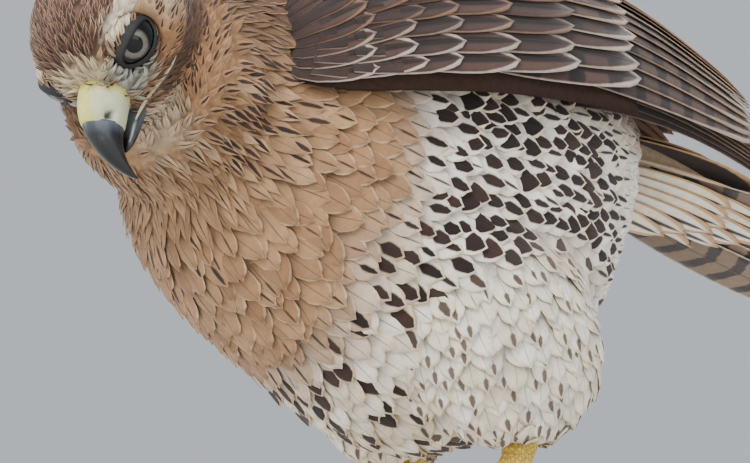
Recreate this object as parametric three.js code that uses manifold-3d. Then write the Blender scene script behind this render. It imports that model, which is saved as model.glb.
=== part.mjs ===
// A young red-tailed hawk, life size, standing on the floor and leaning forward,
// with its head bowed and turned to its left.
// Millimetres, +Z up. The bird faces -Y and its left side is +X.
// The origin is on the floor under the middle of its left sole.
import * as THREE from "three";
import { mergeVertices } from "three/addons/utils/BufferGeometryUtils.js";
import Module from "manifold-3d";

const wasm = await Module();
wasm.setup();

const V = (x, y, z) => new THREE.Vector3(x, y, z);
const rad = THREE.MathUtils.degToRad;
const { lerp, clamp, smoothstep } = THREE.MathUtils;

// Driving dimensions

const GAP = 0.35; // between nodes that meet
const LEFT = 1;
const RIGHT = -1;

const BODY_ROLL = rad(8); // left side up, about a line along the body
const ROLL_HEIGHT = 165; // height of that line

// Trunk sections: y, top, bottom, half width
const TRUNK = [
  [-106, 172, 142, 14],
  [-102, 186, 130, 28],
  [-90, 205, 114, 44],
  [-70, 223, 98, 57],
  [-48, 234, 82, 64],
  [-22, 242, 65, 67],
  [5, 248, 59, 67],
  [35, 252, 66, 64],
  [65, 251, 89, 56],
  [92, 243, 124, 43],
  [112, 230, 160, 30],
  [124, 219, 182, 18],
];
const TRUNK_FRONT = -109;
const TRUNK_FRONT_Z = 155;
const TRUNK_BACK = 129;
const TRUNK_BACK_Z = 196;
const TRUNK_SQUARENESS = 2.05;
const TRUNK_AXIS = 0.52; // how far up a section its widest line lies

// Neck line and radius
const NECK = [
  [0, -38, 172, 50],
  [2, -66, 182, 50],
  [12, -90, 180, 44],
  [26, -112, 174, 37],
  [36, -126, 171, 28],
];

// Head: the point between the eyes, and how it is turned
const HEAD_CENTRE = V(43, -138.5, 175.4);
const HEAD_TURN = rad(50.4);
const HEAD_NOD = rad(70.9);
const HEAD_TILT = rad(34.2);
const HEAD_SIZE = 0.97; // of the sizes below

// Head sections in the head's own frame (forward, left, up): forward, top, bottom, half width
const SKULL = [
  [-41, 11, -4, 9],
  [-36, 18, -12, 17.5],
  [-28, 22.5, -20, 23.5],
  [-18, 25, -24, 26],
  [-8, 25.5, -25, 26],
  [0, 24.2, -24, 24.5],
  [6, 21.6, -22, 21.5],
  [11, 17.6, -20, 17.2],
  [15, 13.2, -18.6, 13],
  [18, 9.8, -17.6, 10.4],
];
const SKULL_BACK = -43;

// Soft swells and hollows of the head: place, reach, depth
const HEAD_FORMS = [
  { at: [8, 17, 12], reach: [10, 5, 4], out: 3.4 }, // brow ridge
  { at: [10, 19, 3], reach: [6, 6, 5], out: -2.6 }, // hollow round the eye
  { at: [16, 10, -2], reach: [5, 5, 6], out: -1.2 }, // lore
  { at: [-6, 24, -12], reach: [10, 8, 8], out: 1.6 }, // cheek
];

const EYE_RADIUS = 9.2;
const EYE_AT = V(4, 14, 3); // centre of the left eyeball
const EYE_LOOK = V(0.54, 0.84, 0.02).normalize();
const LID_RING = 7.1; // radius of the rim of bare skin
const LID_OUT = 5.6; // how far out along the look the rim lies
const LID_THICKNESS = 1.2;

// Bill sections: upper edge (forward, up), lower edge (forward, up), half width
const UPPER_BILL = [
  [13, 6.6, 12, -9.6, 8.4],
  [19, 6.2, 17, -9.8, 7.5],
  [24, 5.8, 21, -10, 6.7],
  [28.5, 4.6, 25, -10.4, 5.9],
  [32.3, 2.2, 28.4, -10.8, 5.1],
  [35.4, -1.6, 31.2, -11.4, 4.3],
  [37.7, -6.2, 33.6, -12.8, 3.3],
  [38.8, -11, 35.8, -15.2, 2.3],
  [38.9, -15.8, 37.2, -18, 1.3],
];
const BILL_TIP = V(38, 0, -20.4);
const CERE_SECTIONS = 4; // how many of those belong to the cere
const CERE_SWELL = 0.5;
const LOWER_BILL = [
  [12, -10.2, 12, -17.4, 7.4],
  [17, -10.4, 17, -17, 6.3],
  [22.5, -10.7, 22.5, -16.4, 5.1],
  [27, -11.3, 27, -15.6, 3.9],
  [30.2, -12, 29.8, -14.6, 2.6],
];
const LOWER_BILL_TIP = V(31.8, 0, -13.4);
const NOSTRIL_AT = V(23.6, 6.5, -0.4);
const NOSTRIL_RADIUS = 1.6;

// Folded wing: lower edge and upper edge as y, x, z, before the body's roll
const WRIST_Y = -74;
const WING_LOWER = [
  [WRIST_Y, 50, 172],
  [-64, 62, 166],
  [-42, 71, 167],
  [0, 74, 173],
  [50, 69, 181],
  [100, 58, 187],
  [150, 46, 189],
  [200, 34, 186],
  [250, 23, 179],
  [300, 14, 169],
];
const WING_UPPER = [
  [WRIST_Y, 34, 208],
  [-64, 27, 224],
  [-42, 16, 242],
  [0, 11, 256],
  [50, 10, 264],
  [100, 9, 262],
  [150, 8, 248],
  [200, 7, 229],
  [250, 6, 208],
  [300, 5, 184],
];
const RIGHT_WING_DROOP = 22; // the right wing hangs lower at the wrist
const WING_TIP_Y = 300;
const ARM_BACK = 78; // where the fleshy arm ends under the feathers

const ARM_OVER = [-0.02, 0.99]; // reach of its outer face round the wing's skin
const ARM_UNDER = [0.02, 0.94]; // reach of its inner face

// Tiers of wing feathers: count, root and tip as [y, b] for the lowest and the highest vane,
// widths, height over the wing's skin at root and tip, and the step in height to the next vane
const WING_TIERS = [
  {
    // primaries
    n: 6,
    root: [[40, 0.05], [48, 0.3]],
    tip: [[300, 0.28], [214, 0.3]],
    wide: [15, 18],
    lift: [-11.5, -10.5],
    stack: 1.6,
    rows: 6,
  },
  {
    // secondaries and tertials
    n: 11,
    root: [[22, 0.1], [30, 0.94]],
    tip: [[172, 0.14], [190, 0.92]],
    wide: [20, 18],
    lift: [-0.6, 1.0],
    stack: 0.55,
    rows: 5,
  },
  {
    // greater coverts
    n: 8,
    root: [[-18, 0.08], [14, 0.76]],
    tip: [[70, 0.11], [96, 0.76]],
    wide: [17, 17],
    lift: [3.9, 5.2],
    stack: 0.64,
    rows: 4,
  },
];
const VANE_THICK = 1.1;
const VANE_EDGE = 0.6;
const VANE_SHINGLE = 0.16; // fall across a vane, so that each lies over the one below it
const TIP_UNEVEN = 1.6; // how much the vanes' lengths differ

// Tail
const TAIL_ROOT = V(0, 96, 198);
const TAIL_DROP = rad(9);
const TAIL_LENGTH = 244;
const RECTRICES = 12;
const RECTRIX_WIDTH = 25;
const RECTRIX_START = 30; // along the tail from its root
const RECTRIX_TOP = 1.5; // height of the middle pair over the tail's plane
const RECTRIX_STEP = 1.1; // each lies this much lower than the one inside it
const RECTRIX_SHORTER = 1.6; // and is this much shorter
const RECTRIX_TILT = 0.09;
const TAIL_SPREAD_ROOT = 3.4; // sideways step from feather to feather
const TAIL_SPREAD_TIP = 7;
const TAIL_STUB = [
  // along the tail, half width, half height
  [2, 17, 15],
  [20, 22, 13],
  [45, 22, 8],
  [70, 19, 4],
];
const TAIL_COVERTS = [
  { count: 5, height: 9, start: 24, reach: 104, wide: 19, root: 7, tip: 9, shorter: 9, tilt: 0.06 },
  { count: 5, height: -8, start: 24, reach: 112, wide: 19, root: 7, tip: 9, shorter: 9, tilt: -0.06 },
];

// Legs: where each foot stands, and the sections of the feathered thigh above it
const FOOT_AT = { left: V(0, 0, 0), right: V(-82, 14, 0) };
const MID_X = -41; // the bird's middle plane, seen from the left sole
const THIGH = [
  // height, middle y, half length, distance from the middle plane, half width
  [166, -12, 18, 42, 14],
  [146, -6, 32, 47, 20],
  [124, 5, 42, 50.5, 23],
  [100, 15, 45, 50, 23],
  [82, 20, 38, 48, 19],
  [70, 21, 28, 45, 14],
  [62, 21, 18, 43, 10],
];
const RIGHT_THIGH_BACK = 12;
const TARSUS_TOP = V(2.5, 33, 76); // from the foot's own place
const TARSUS_FOOT = V(0, 3, 9);
const TARSUS_RADII = [6.4, 5.6, 5.0, 4.9, 5.3, 6.6];
const SCUTES = 9;

// Toes: turn from straight ahead towards the bird's outer side, length, root radius, end radius
const TOES = [
  { turn: rad(-26), length: 36, root: 5.6, end: 4.5, claw: 23 },
  { turn: rad(6), length: 48, root: 5.6, end: 4.3, claw: 21 },
  { turn: rad(44), length: 38, root: 5.2, end: 4.0, claw: 18 },
  { turn: rad(172), length: 28, root: 5.6, end: 4.6, claw: 24 },
];
// Middle line of a toe: share of its length, height over the floor
const TOE_ARCH = [
  [0.02, 7],
  [0.4, 6.6],
  [0.75, 5],
];
const FOOT_BALL = 8.6; // radius where the toes meet
const FOOT_BALL_Z = 7.4;
const PAD_RADIUS = 6; // the flat pad in the middle of the sole
const PAD_FOLD = 1.6; // width and depth of the fold of skin round it
const PAD_FOLD_DEEP = 0.6;
const CLAW_STOUT = 0.7; // of the toe's end
const CLAW_SUNK = 2.4; // how far a claw's root lies in its toe
const CLAW_RISE = rad(42);
const CLAW_SWEEP = rad(104);
const SOLE_SINK = 1.1; // how far the round toes reach below the floor before they are cut flat

// Small tools

function uneven(i) {
  // An even spread of numbers from -1 to 1, the same each time for the same i
  const s = Math.sin((i + 1) * 78.233) * 43758.5453;
  return (s - Math.floor(s)) * 2 - 1;
}

function table(rows) {
  // Smooth curve through rows of [key, values...], read by key
  const keys = rows.map((r) => r[0]);
  return (key) => {
    const k = clamp(key, keys[0], keys[keys.length - 1]);
    const i = Math.max(0, Math.min(rows.length - 2, keys.findIndex((x) => x >= k) - 1));
    const t = (k - keys[i]) / (keys[i + 1] - keys[i]);
    const slope = (j, c) => {
      const before = rows[Math.max(0, j - 1)];
      const after = rows[Math.min(rows.length - 1, j + 1)];
      return (after[c] - before[c]) / (after[0] - before[0]);
    };
    const span = keys[i + 1] - keys[i];
    return rows[i].slice(1).map((p, n) => {
      const c = n + 1;
      const q = rows[i + 1][c];
      const [t2, t3] = [t ** 2, t ** 3];
      const [start, end] = [2 * t3 - 3 * t2 + 1, 3 * t2 - 2 * t3];
      const bends = (t3 - 2 * t2 + t) * slope(i, c) + (t3 - t2) * slope(i + 1, c);
      return start * p + end * q + bends * span;
    });
  };
}

function closed(points, index) {
  const g = new THREE.BufferGeometry();
  g.setAttribute("position", new THREE.Float32BufferAttribute(points.flatMap((p) => [p.x, p.y, p.z]), 3));
  g.setIndex(index);
  return g;
}

function solid(geometry) {
  const g = geometry.clone();
  g.deleteAttribute("normal");
  g.deleteAttribute("uv");
  const merged = mergeVertices(g, 1e-4);
  const at = merged.attributes.position;
  const index = [];
  let volume = 0;
  for (let i = 0; i < merged.index.count; i += 3) {
    const [a, b, c] = [0, 1, 2].map((k) => merged.index.getX(i + k));
    if (a === b || b === c || a === c) continue;
    index.push(a, b, c);
    const [p, q, r] = [a, b, c].map((k) => V(at.getX(k), at.getY(k), at.getZ(k)));
    volume += p.dot(q.cross(r)) / 6;
  }
  if (volume < 0) index.reverse();
  const triVerts = new Uint32Array(index);
  return new wasm.Manifold(new wasm.Mesh({ numProp: 3, vertProperties: at.array, triVerts }));
}

function loft(rings) {
  // Skin over rings of points. A ring of one point is a pole, and an open end gets a fan round its middle.
  const points = [];
  const index = [];
  const starts = rings.map((ring) => {
    const at = points.length;
    points.push(...ring);
    return at;
  });
  const n = Math.max(...rings.map((r) => r.length));
  for (let i = 0; i + 1 < rings.length; i++) {
    const [one, two] = [rings[i].length, rings[i + 1].length];
    for (let j = 0; j < n; j++) {
      const k = (j + 1) % n;
      const a = starts[i] + (one === 1 ? 0 : j);
      const b = starts[i] + (one === 1 ? 0 : k);
      const c = starts[i + 1] + (two === 1 ? 0 : j);
      const d = starts[i + 1] + (two === 1 ? 0 : k);
      if (one > 1) index.push(a, b, d);
      if (two > 1) index.push(a, d, c);
    }
  }
  for (const [i, turned] of [[0, true], [rings.length - 1, false]]) {
    if (rings[i].length === 1) continue;
    const middle = rings[i].reduce((s, p) => s.add(p), V(0, 0, 0)).divideScalar(n);
    points.push(middle);
    for (let j = 0; j < n; j++) {
      const [a, b] = [starts[i] + j, starts[i] + ((j + 1) % n)];
      index.push(...(turned ? [b, a, points.length - 1] : [a, b, points.length - 1]));
    }
  }
  return closed(points, index);
}

const power = (x, p) => Math.sign(x) * Math.abs(x) ** p;

function oval(count, across, up, down, squareness, place) {
  // Ring of points at (across, up) round an axis, handed to place(a, u)
  return Array.from({ length: count }, (_, i) => {
    const t = (i / count) * 2 * Math.PI;
    const c = power(Math.cos(t), 2 / squareness);
    const s = power(Math.sin(t), 2 / squareness);
    return place(c * across, s * (s > 0 ? up : down));
  });
}

const join = (solids) => solids.reduce((a, b) => a.add(b));
const largest = (s) => s.decompose().sort((a, b) => b.volume() - a.volume())[0];

function meshed(s) {
  const { vertProperties, triVerts } = s.getMesh();
  const g = new THREE.BufferGeometry();
  g.setAttribute("position", new THREE.BufferAttribute(new Float32Array(vertProperties), 3));
  g.setIndex(new THREE.BufferAttribute(new Uint32Array(triVerts), 1));
  return g;
}

// Trunk

function rolled(x, y, z) {
  const [c, s] = [Math.cos(BODY_ROLL), Math.sin(BODY_ROLL)];
  return V(MID_X + x * c - (z - ROLL_HEIGHT) * s, y, ROLL_HEIGHT + x * s + (z - ROLL_HEIGHT) * c);
}

const trunkAt = table(TRUNK);

function trunk(extra = 0) {
  const stations = 17;
  const segments = 24;
  const rings = [[rolled(0, TRUNK_FRONT - extra, TRUNK_FRONT_Z)]];
  const [first, last] = [TRUNK[0][0], TRUNK[TRUNK.length - 1][0]];
  for (let i = 0; i < stations; i++) {
    const u = i / (stations - 1);
    const wave = Math.cos(Math.PI * u);
    const y = lerp(first, last, 0.5 - 0.5 * wave * lerp(0.75, 1, Math.abs(wave)));
    const [top, bottom, wide] = trunkAt(y);
    const axis = lerp(bottom, top, TRUNK_AXIS);
    rings.push(
      oval(segments, wide + extra, top - axis + extra, axis - bottom + extra, TRUNK_SQUARENESS, (a, u2) =>
        rolled(a, y, axis + u2),
      ),
    );
  }
  rings.push([rolled(0, TRUNK_BACK + extra, TRUNK_BACK_Z)]);
  return solid(loft(rings));
}

// Neck

function neck(extra = 0) {
  const line = new THREE.CatmullRomCurve3(NECK.map(([x, y, z]) => V(MID_X + x, y, z)));
  const radius = table(NECK.map((r, i) => [i, r[3]]));
  const stations = 9;
  const rings = [];
  for (let i = 0; i < stations; i++) {
    const t = i / (stations - 1);
    const at = line.getPoint(t);
    const ahead = line.getTangent(t);
    const side = V(1, 0, 0).addScaledVector(ahead, -ahead.x).normalize();
    const up = side.clone().cross(ahead).normalize();
    const [r] = radius(t * (NECK.length - 1));
    rings.push(
      oval(18, r + extra, r + extra, r + extra, 2, (a, u) =>
        at.clone().addScaledVector(side, a).addScaledVector(up, u),
      ),
    );
  }
  return solid(loft(rings));
}

// Head, in its own frame of forward, left and up

function headAxes() {
  const mix = (p, a, q, b) => p.clone().multiplyScalar(a).addScaledVector(q, b);
  const [turn, nod, tilt] = [HEAD_TURN, HEAD_NOD, HEAD_TILT];
  const ahead = V(Math.sin(turn), -Math.cos(turn), 0);
  const left = V(Math.cos(turn), Math.sin(turn), 0);
  const up = V(0, 0, 1);
  const forward = mix(ahead, Math.cos(nod), up, -Math.sin(nod));
  const crown = mix(up, Math.cos(nod), ahead, Math.sin(nod));
  const tiltedLeft = mix(left, Math.cos(tilt), crown, Math.sin(tilt));
  const tiltedUp = mix(crown, Math.cos(tilt), left, -Math.sin(tilt));
  return [forward, tiltedLeft, tiltedUp];
}

const [FORWARD, SIDE, CROWN] = headAxes();
const inHead = (p) =>
  V(HEAD_CENTRE.x + MID_X, HEAD_CENTRE.y, HEAD_CENTRE.z)
    .addScaledVector(FORWARD, p.x * HEAD_SIZE)
    .addScaledVector(SIDE, p.y * HEAD_SIZE)
    .addScaledVector(CROWN, p.z * HEAD_SIZE);
const skullAt = table(SKULL);

function shapedHead(p) {
  // The swells and hollows push a point away from the head's axis or towards it, alike on both sides
  const away = V(0, p.y, p.z).normalize();
  let out = 0;
  for (const { at, reach, out: depth } of HEAD_FORMS) {
    const [x, y, z] = [p.x, Math.abs(p.y), p.z].map((v, k) => (v - at[k]) / reach[k]);
    out += depth * Math.exp(-(x ** 2 + y ** 2 + z ** 2));
  }
  return p.addScaledVector(away, out);
}

function headForm(extra = 0) {
  const stations = 16;
  const rings = [[inHead(V(SKULL_BACK - extra, 0, 5))]];
  const [first, last] = [SKULL[0][0], SKULL[SKULL.length - 1][0]];
  for (let i = 0; i < stations; i++) {
    const x = lerp(first, last, i / (stations - 1));
    const [top, bottom, wide] = skullAt(x);
    const axis = lerp(bottom, top, 0.5);
    rings.push(
      oval(24, wide + extra, top - axis + extra, axis - bottom + extra, 2.1, (a, u) =>
        inHead(shapedHead(V(x, a, axis + u))),
      ),
    );
  }
  return solid(loft(rings));
}

function mirrored(p, side) {
  return V(p.x, p.y * side, p.z);
}

function ballAt(place, radius, columns, rows) {
  const ball = new THREE.SphereGeometry(radius, columns, rows);
  const at = inHead(place);
  return solid(ball.translate(at.x, at.y, at.z));
}

function eyeball(side, extra = 0) {
  return ballAt(mirrored(EYE_AT, side), EYE_RADIUS + extra, 14, 10);
}

function lids(side) {
  // A rim of bare skin round the eye, drawn out to a point at the front and back
  const middle = mirrored(EYE_AT, side);
  const look = mirrored(EYE_LOOK, side);
  const along = V(0, 0, 1).cross(look).normalize();
  const over = look.clone().cross(along);
  const rim = middle.clone().addScaledVector(look, LID_OUT);
  const steps = 18;
  const rings = Array.from({ length: steps }, (_, i) => {
    const t = (i / steps) * 2 * Math.PI;
    const spoke = along.clone().multiplyScalar(Math.cos(t) * 1.12).addScaledVector(over, Math.sin(t));
    const sunk = Math.abs(Math.cos(t)) * 0.8;
    return oval(5, LID_THICKNESS, LID_THICKNESS, LID_THICKNESS, 2, (a, u) =>
      inHead(rim.clone().addScaledVector(spoke, LID_RING + a).addScaledVector(look, u - sunk)),
    );
  });
  const points = rings.flat();
  const index = [];
  for (let i = 0; i < steps; i++)
    for (let j = 0; j < 5; j++) {
      const [a, b] = [i * 5 + j, i * 5 + ((j + 1) % 5)];
      const [c, d] = [((i + 1) % steps) * 5 + j, ((i + 1) % steps) * 5 + ((j + 1) % 5)];
      index.push(a, b, d, a, d, c);
    }
  return solid(closed(points, index));
}

// Bill

function billRing([topX, topZ, lowX, lowZ, wide], swell, shift = 0) {
  // A section leans with the line from its upper edge to its lower edge
  const [top, low] = [V(topX, 0, topZ), V(lowX, 0, lowZ)];
  const middle = top.clone().lerp(low, 0.5);
  const up = top.clone().sub(low);
  const half = up.length() / 2 + swell;
  up.normalize();
  const ahead = V(up.z, 0, -up.x).multiplyScalar(shift);
  return oval(12, wide + swell, half, half, 2, (a, u) => {
    const narrowed = a * (u < 0 ? 1 : 1 - (0.25 * u) / half);
    return inHead(middle.clone().addScaledVector(up, u).add(V(0, narrowed, 0)).add(ahead));
  });
}

function cere() {
  const rings = UPPER_BILL.slice(0, CERE_SECTIONS).map((s) => billRing(s, CERE_SWELL));
  let made = solid(loft(rings)).subtract(headForm(GAP));
  for (const side of [LEFT, RIGHT])
    made = made.subtract(ballAt(mirrored(NOSTRIL_AT, side), NOSTRIL_RADIUS, 8, 6));
  return largest(made);
}

function upperBill() {
  const rows = UPPER_BILL.slice(CERE_SECTIONS - 1);
  const rings = rows.map((s, i) => billRing(s, 0, i === 0 ? GAP : 0));
  return solid(loft([...rings, [inHead(BILL_TIP)]]));
}

function lowerBill(others) {
  const rings = LOWER_BILL.map((s) => billRing(s, 0));
  const made = solid(loft([...rings, [inHead(LOWER_BILL_TIP)]])).subtract(headForm(GAP));
  return largest(others.reduce((m, o) => m.subtract(o), made));
}

function billBlock() {
  // The whole upper bill a little swollen, which keeps the lower bill clear of it
  const rings = UPPER_BILL.map((s) => billRing(s, CERE_SWELL + GAP));
  return solid(loft([...rings, [inHead(BILL_TIP)]]));
}

// Wings

const wingLower = table(WING_LOWER);
const wingUpper = table(WING_UPPER);

function wingSkin(side, y, b) {
  // Point of the folded wing's skin: b runs from its lower edge, 0, to its upper edge by the spine, 1
  const [lowX, lowZ] = wingLower(y);
  const [highX, highZ] = wingUpper(y);
  const a = (b * Math.PI) / 2;
  const forwardness = (WING_TIP_Y - y) / (WING_TIP_Y - WRIST_Y);
  const droop = side === RIGHT ? RIGHT_WING_DROOP * forwardness : 0;
  const x = highX + (lowX - highX) * Math.cos(a);
  const z = lowZ + (highZ - lowZ) * Math.sin(a) - droop;
  return rolled(x * side, y, z);
}

function wingFrame(side, y, b) {
  const step = 0.5;
  const along = wingSkin(side, y + step, b).sub(wingSkin(side, y - step, b)).divideScalar(2 * step);
  const over = wingSkin(side, y, b + 0.005).sub(wingSkin(side, y, b - 0.005)).divideScalar(0.01);
  const out = along.clone().cross(over).multiplyScalar(side).normalize();
  return { along, over, out };
}

function onWing(side, y, b, shift, lift) {
  // The point reached from (y, b) by a sideways shift in the skin, then lifted off it
  const { along, over } = wingFrame(side, y, b);
  const [aa, ab, bb] = [along.dot(along), along.dot(over), over.dot(over)];
  const [sa, sb] = [shift.dot(along), shift.dot(over)];
  const det = aa * bb - ab * ab;
  const dy = (sa * bb - sb * ab) / det;
  const db = (sb * aa - sa * ab) / det;
  const { out } = wingFrame(side, y + dy, b + db);
  return wingSkin(side, y + dy, b + db).addScaledVector(out, lift);
}

function plate(rows) {
  // Thin closed plate over rows of [left, shaft, right] pairs of {top, low}
  const points = [];
  for (const row of rows) for (const p of row) points.push(p.top, p.low);
  const columns = rows[0].length;
  const top = (i, j) => (i * columns + j) * 2;
  const low = (i, j) => top(i, j) + 1;
  const index = [];
  const last = rows.length - 1;
  for (let i = 0; i < last; i++)
    for (let j = 0; j + 1 < columns; j++) {
      index.push(top(i, j), top(i, j + 1), top(i + 1, j + 1), top(i, j), top(i + 1, j + 1), top(i + 1, j));
      index.push(low(i, j), low(i + 1, j + 1), low(i, j + 1), low(i, j), low(i + 1, j), low(i + 1, j + 1));
    }
  const edge = (a, b, c, d) => index.push(a, b, c, a, c, d);
  for (let i = 0; i < last; i++) {
    const j = columns - 1;
    edge(top(i, 0), top(i + 1, 0), low(i + 1, 0), low(i, 0));
    edge(top(i + 1, j), top(i, j), low(i, j), low(i + 1, j));
  }
  for (let j = 0; j + 1 < columns; j++) {
    edge(top(0, j + 1), top(0, j), low(0, j), low(0, j + 1));
    edge(top(last, j), top(last, j + 1), low(last, j + 1), low(last, j));
  }
  return solid(closed(points, index));
}

const VANE_OUTLINE = table([
  [0, 0.6],
  [0.3, 0.92],
  [0.7, 1],
  [0.88, 0.78],
  [1, 0.16],
]);

function vaneStations(rows) {
  return Array.from({ length: rows + 1 }, (_, i) => 1 - (1 - i / rows) ** 1.35);
}

function wingVane(side, root, tip, wide, lift, rows) {
  return plate(
    vaneStations(rows).map((t) => {
      const [y, b] = [lerp(root[0], tip[0], t), lerp(root[1], tip[1], t)];
      const { along, over, out } = wingFrame(side, y, b);
      const ahead = along.clone().multiplyScalar(tip[0] - root[0]);
      ahead.addScaledVector(over, tip[1] - root[1]).normalize();
      const across = out.clone().cross(ahead).normalize();
      if (across.dot(over) < 0) across.negate();
      const half = (wide * VANE_OUTLINE(t)[0]) / 2;
      const height = lerp(lift[0], lift[1], t);
      return [-1, 0, 1].map((c) => {
        const thick = c === 0 ? VANE_THICK : VANE_EDGE;
        const shift = across.clone().multiplyScalar(c * half);
        const rise = height - c * half * VANE_SHINGLE;
        const [top, low] = [0.5, -0.5].map((k) => onWing(side, y, b, shift, rise + k * thick));
        return { top, low };
      });
    }),
  );
}

function tier(side, { n, root, tip, wide, lift, stack, rows }) {
  return Array.from({ length: n }, (_, i) => {
    const t = i / (n - 1);
    const between = (pair) => [lerp(pair[0][0], pair[1][0], t), lerp(pair[0][1], pair[1][1], t)];
    const height = lift.map((h) => h + stack * i);
    const end = between(tip);
    end[0] += uneven(i + n) * TIP_UNEVEN;
    return wingVane(side, between(root), end, lerp(wide[0], wide[1], t), height, rows);
  });
}

function armSwell(y) {
  // Height of the arm's feathered flesh over the wing's skin
  return lerp(6.4, -1.6, smoothstep(y, WRIST_Y + 36, ARM_BACK)) * smoothstep(y, WRIST_Y - 4, WRIST_Y + 20);
}

function arm(side) {
  const stations = [0, 6, 18, 34, 54, 76, 100, 126, ARM_BACK - WRIST_Y].map((d) => WRIST_Y + d);
  const [over, under] = [9, 6];
  const rings = stations.map((y) => {
    const ring = [];
    for (let i = 0; i <= over; i++) {
      const b = lerp(ARM_OVER[0], ARM_OVER[1], i / over);
      const round = Math.sin(Math.PI * lerp(0.06, 0.94, i / over)) ** 0.4;
      ring.push(wingSkin(side, y, b).addScaledVector(wingFrame(side, y, b).out, armSwell(y) * round));
    }
    for (let i = under; i >= 0; i--) {
      const b = lerp(ARM_UNDER[0], ARM_UNDER[1], i / under);
      const deep = lerp(10, 5, smoothstep(y, -30, ARM_BACK)) * smoothstep(y, WRIST_Y - 8, WRIST_Y + 20);
      ring.push(wingSkin(side, y, b).addScaledVector(wingFrame(side, y, b).out, -Math.max(2.5, deep)));
    }
    return ring;
  });
  return solid(loft(rings));
}

function wing(side, clear) {
  const vanes = WING_TIERS.flatMap((t) => tier(side, t));
  const whole = join([arm(side), ...vanes]);
  return largest(clear.reduce((w, c) => w.subtract(c), whole));
}

// Tail

function tailPoint(s, x, z) {
  // s runs back along the tail, z is up from its plane
  return rolled(
    TAIL_ROOT.x + x,
    TAIL_ROOT.y + s * Math.cos(TAIL_DROP) + z * Math.sin(TAIL_DROP),
    TAIL_ROOT.z - s * Math.sin(TAIL_DROP) + z * Math.cos(TAIL_DROP),
  );
}

function tailVane(rootX, tipX, from, to, wide, height, rows, shingle) {
  return plate(
    vaneStations(rows).map((t) => {
      const s = lerp(from, to, t);
      const half = (wide * VANE_OUTLINE(t)[0]) / 2;
      const middle = lerp(rootX, tipX, t);
      return [-1, 0, 1].map((c) => {
        const thick = c === 0 ? VANE_THICK : VANE_EDGE;
        const x = middle + c * half;
        const z = height - Math.abs(middle) * 0.12 + c * half * shingle;
        return { top: tailPoint(s, x, z + thick / 2), low: tailPoint(s, x, z - thick / 2) };
      });
    }),
  );
}

function tail(clear) {
  const pieces = [];
  const rings = TAIL_STUB.map(([s, wide, high]) =>
    oval(14, wide, high, high, 2, (a, u) => tailPoint(s, a, u)),
  );
  pieces.push(solid(loft(rings)));
  for (let i = 0; i < RECTRICES; i++) {
    const n = i - (RECTRICES - 1) / 2;
    const outward = Math.sign(n);
    const height = RECTRIX_TOP - Math.abs(n) * RECTRIX_STEP + (n === 0.5 ? RECTRIX_STEP * 2 : 0);
    const length = TAIL_LENGTH - Math.abs(n) * RECTRIX_SHORTER + uneven(i) * TIP_UNEVEN;
    const [rootX, tipX] = [n * TAIL_SPREAD_ROOT, n * TAIL_SPREAD_TIP];
    const tilt = -RECTRIX_TILT * outward;
    pieces.push(tailVane(rootX, tipX, RECTRIX_START, length, RECTRIX_WIDTH, height, 5, tilt));
  }
  for (const { count, height, start, reach, wide, root, tip, shorter, tilt } of TAIL_COVERTS)
    for (let i = 0; i < count; i++) {
      const n = i - (count - 1) / 2;
      const above = height - Math.sign(height) * Math.abs(n);
      const to = reach - Math.abs(n) * shorter + uneven(i + 40) * TIP_UNEVEN;
      pieces.push(tailVane(n * root, n * tip, start, to, wide, above, 4, tilt));
    }
  return largest(clear.reduce((w, c) => w.subtract(c), join(pieces)));
}

// Legs

function thigh(side, extra = 0) {
  const back = side === LEFT ? 0 : RIGHT_THIGH_BACK;
  const rings = THIGH.map(([z, y, long, out, wide]) =>
    oval(18, wide + extra, long + extra, long + extra, 2, (a, u) =>
      V(MID_X + side * out + a, y + u + back, z),
    ),
  );
  return solid(loft(rings));
}

function tarsusLine(side) {
  const foot = side === LEFT ? FOOT_AT.left : FOOT_AT.right;
  const top = foot.clone().add(V(TARSUS_TOP.x * side, TARSUS_TOP.y, TARSUS_TOP.z));
  return new THREE.LineCurve3(top, foot.clone().add(TARSUS_FOOT));
}

function tarsus(side, extra = 0) {
  const line = tarsusLine(side);
  const down = line.getTangent(0);
  const front = V(0, -1, 0).addScaledVector(down, down.y).normalize();
  const across = V(1, 0, 0);
  const rings = TARSUS_RADII.map((r, i) => {
    const at = line.getPoint(i / (TARSUS_RADII.length - 1));
    return oval(10, r * 0.86 + extra, r + extra, r + extra, 2, (a, u) =>
      at.clone().addScaledVector(across, a).addScaledVector(front, u),
    );
  });
  const made = [solid(loft(rings))];
  if (extra === 0)
    for (let i = 0; i < SCUTES; i++) {
      const t = lerp(0.3, 0.9, i / (SCUTES - 1));
      const at = line.getPoint(t);
      const shield = [0.0, 1.0].map((k) =>
        oval(8, 3.6 - k * 0.4, 2.2 - k * 0.4, 2.2 - k * 0.4, 2.6, (a, u) =>
          at
            .clone()
            .addScaledVector(across, a)
            .addScaledVector(down, u)
            .addScaledVector(front, lerp(3.2, 6.1, k) - a * a * 0.07),
        ),
      );
      made.push(solid(loft(shield)));
    }
  return join(made);
}

function toeLine(side, toe) {
  // Runs out from the ball of the foot, arched over the first joint and down to the last pad
  const foot = side === LEFT ? FOOT_AT.left : FOOT_AT.right;
  const ahead = V(Math.sin(toe.turn) * side, -Math.cos(toe.turn), 0);
  const at = (d, z) => foot.clone().addScaledVector(ahead, d).add(V(0, 0, z));
  const joints = TOE_ARCH.map(([share, z]) => at(toe.length * share, z));
  const tip = at(toe.length, toe.end - SOLE_SINK + 0.4);
  return { ahead, line: new THREE.CatmullRomCurve3([...joints, tip]) };
}

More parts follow.
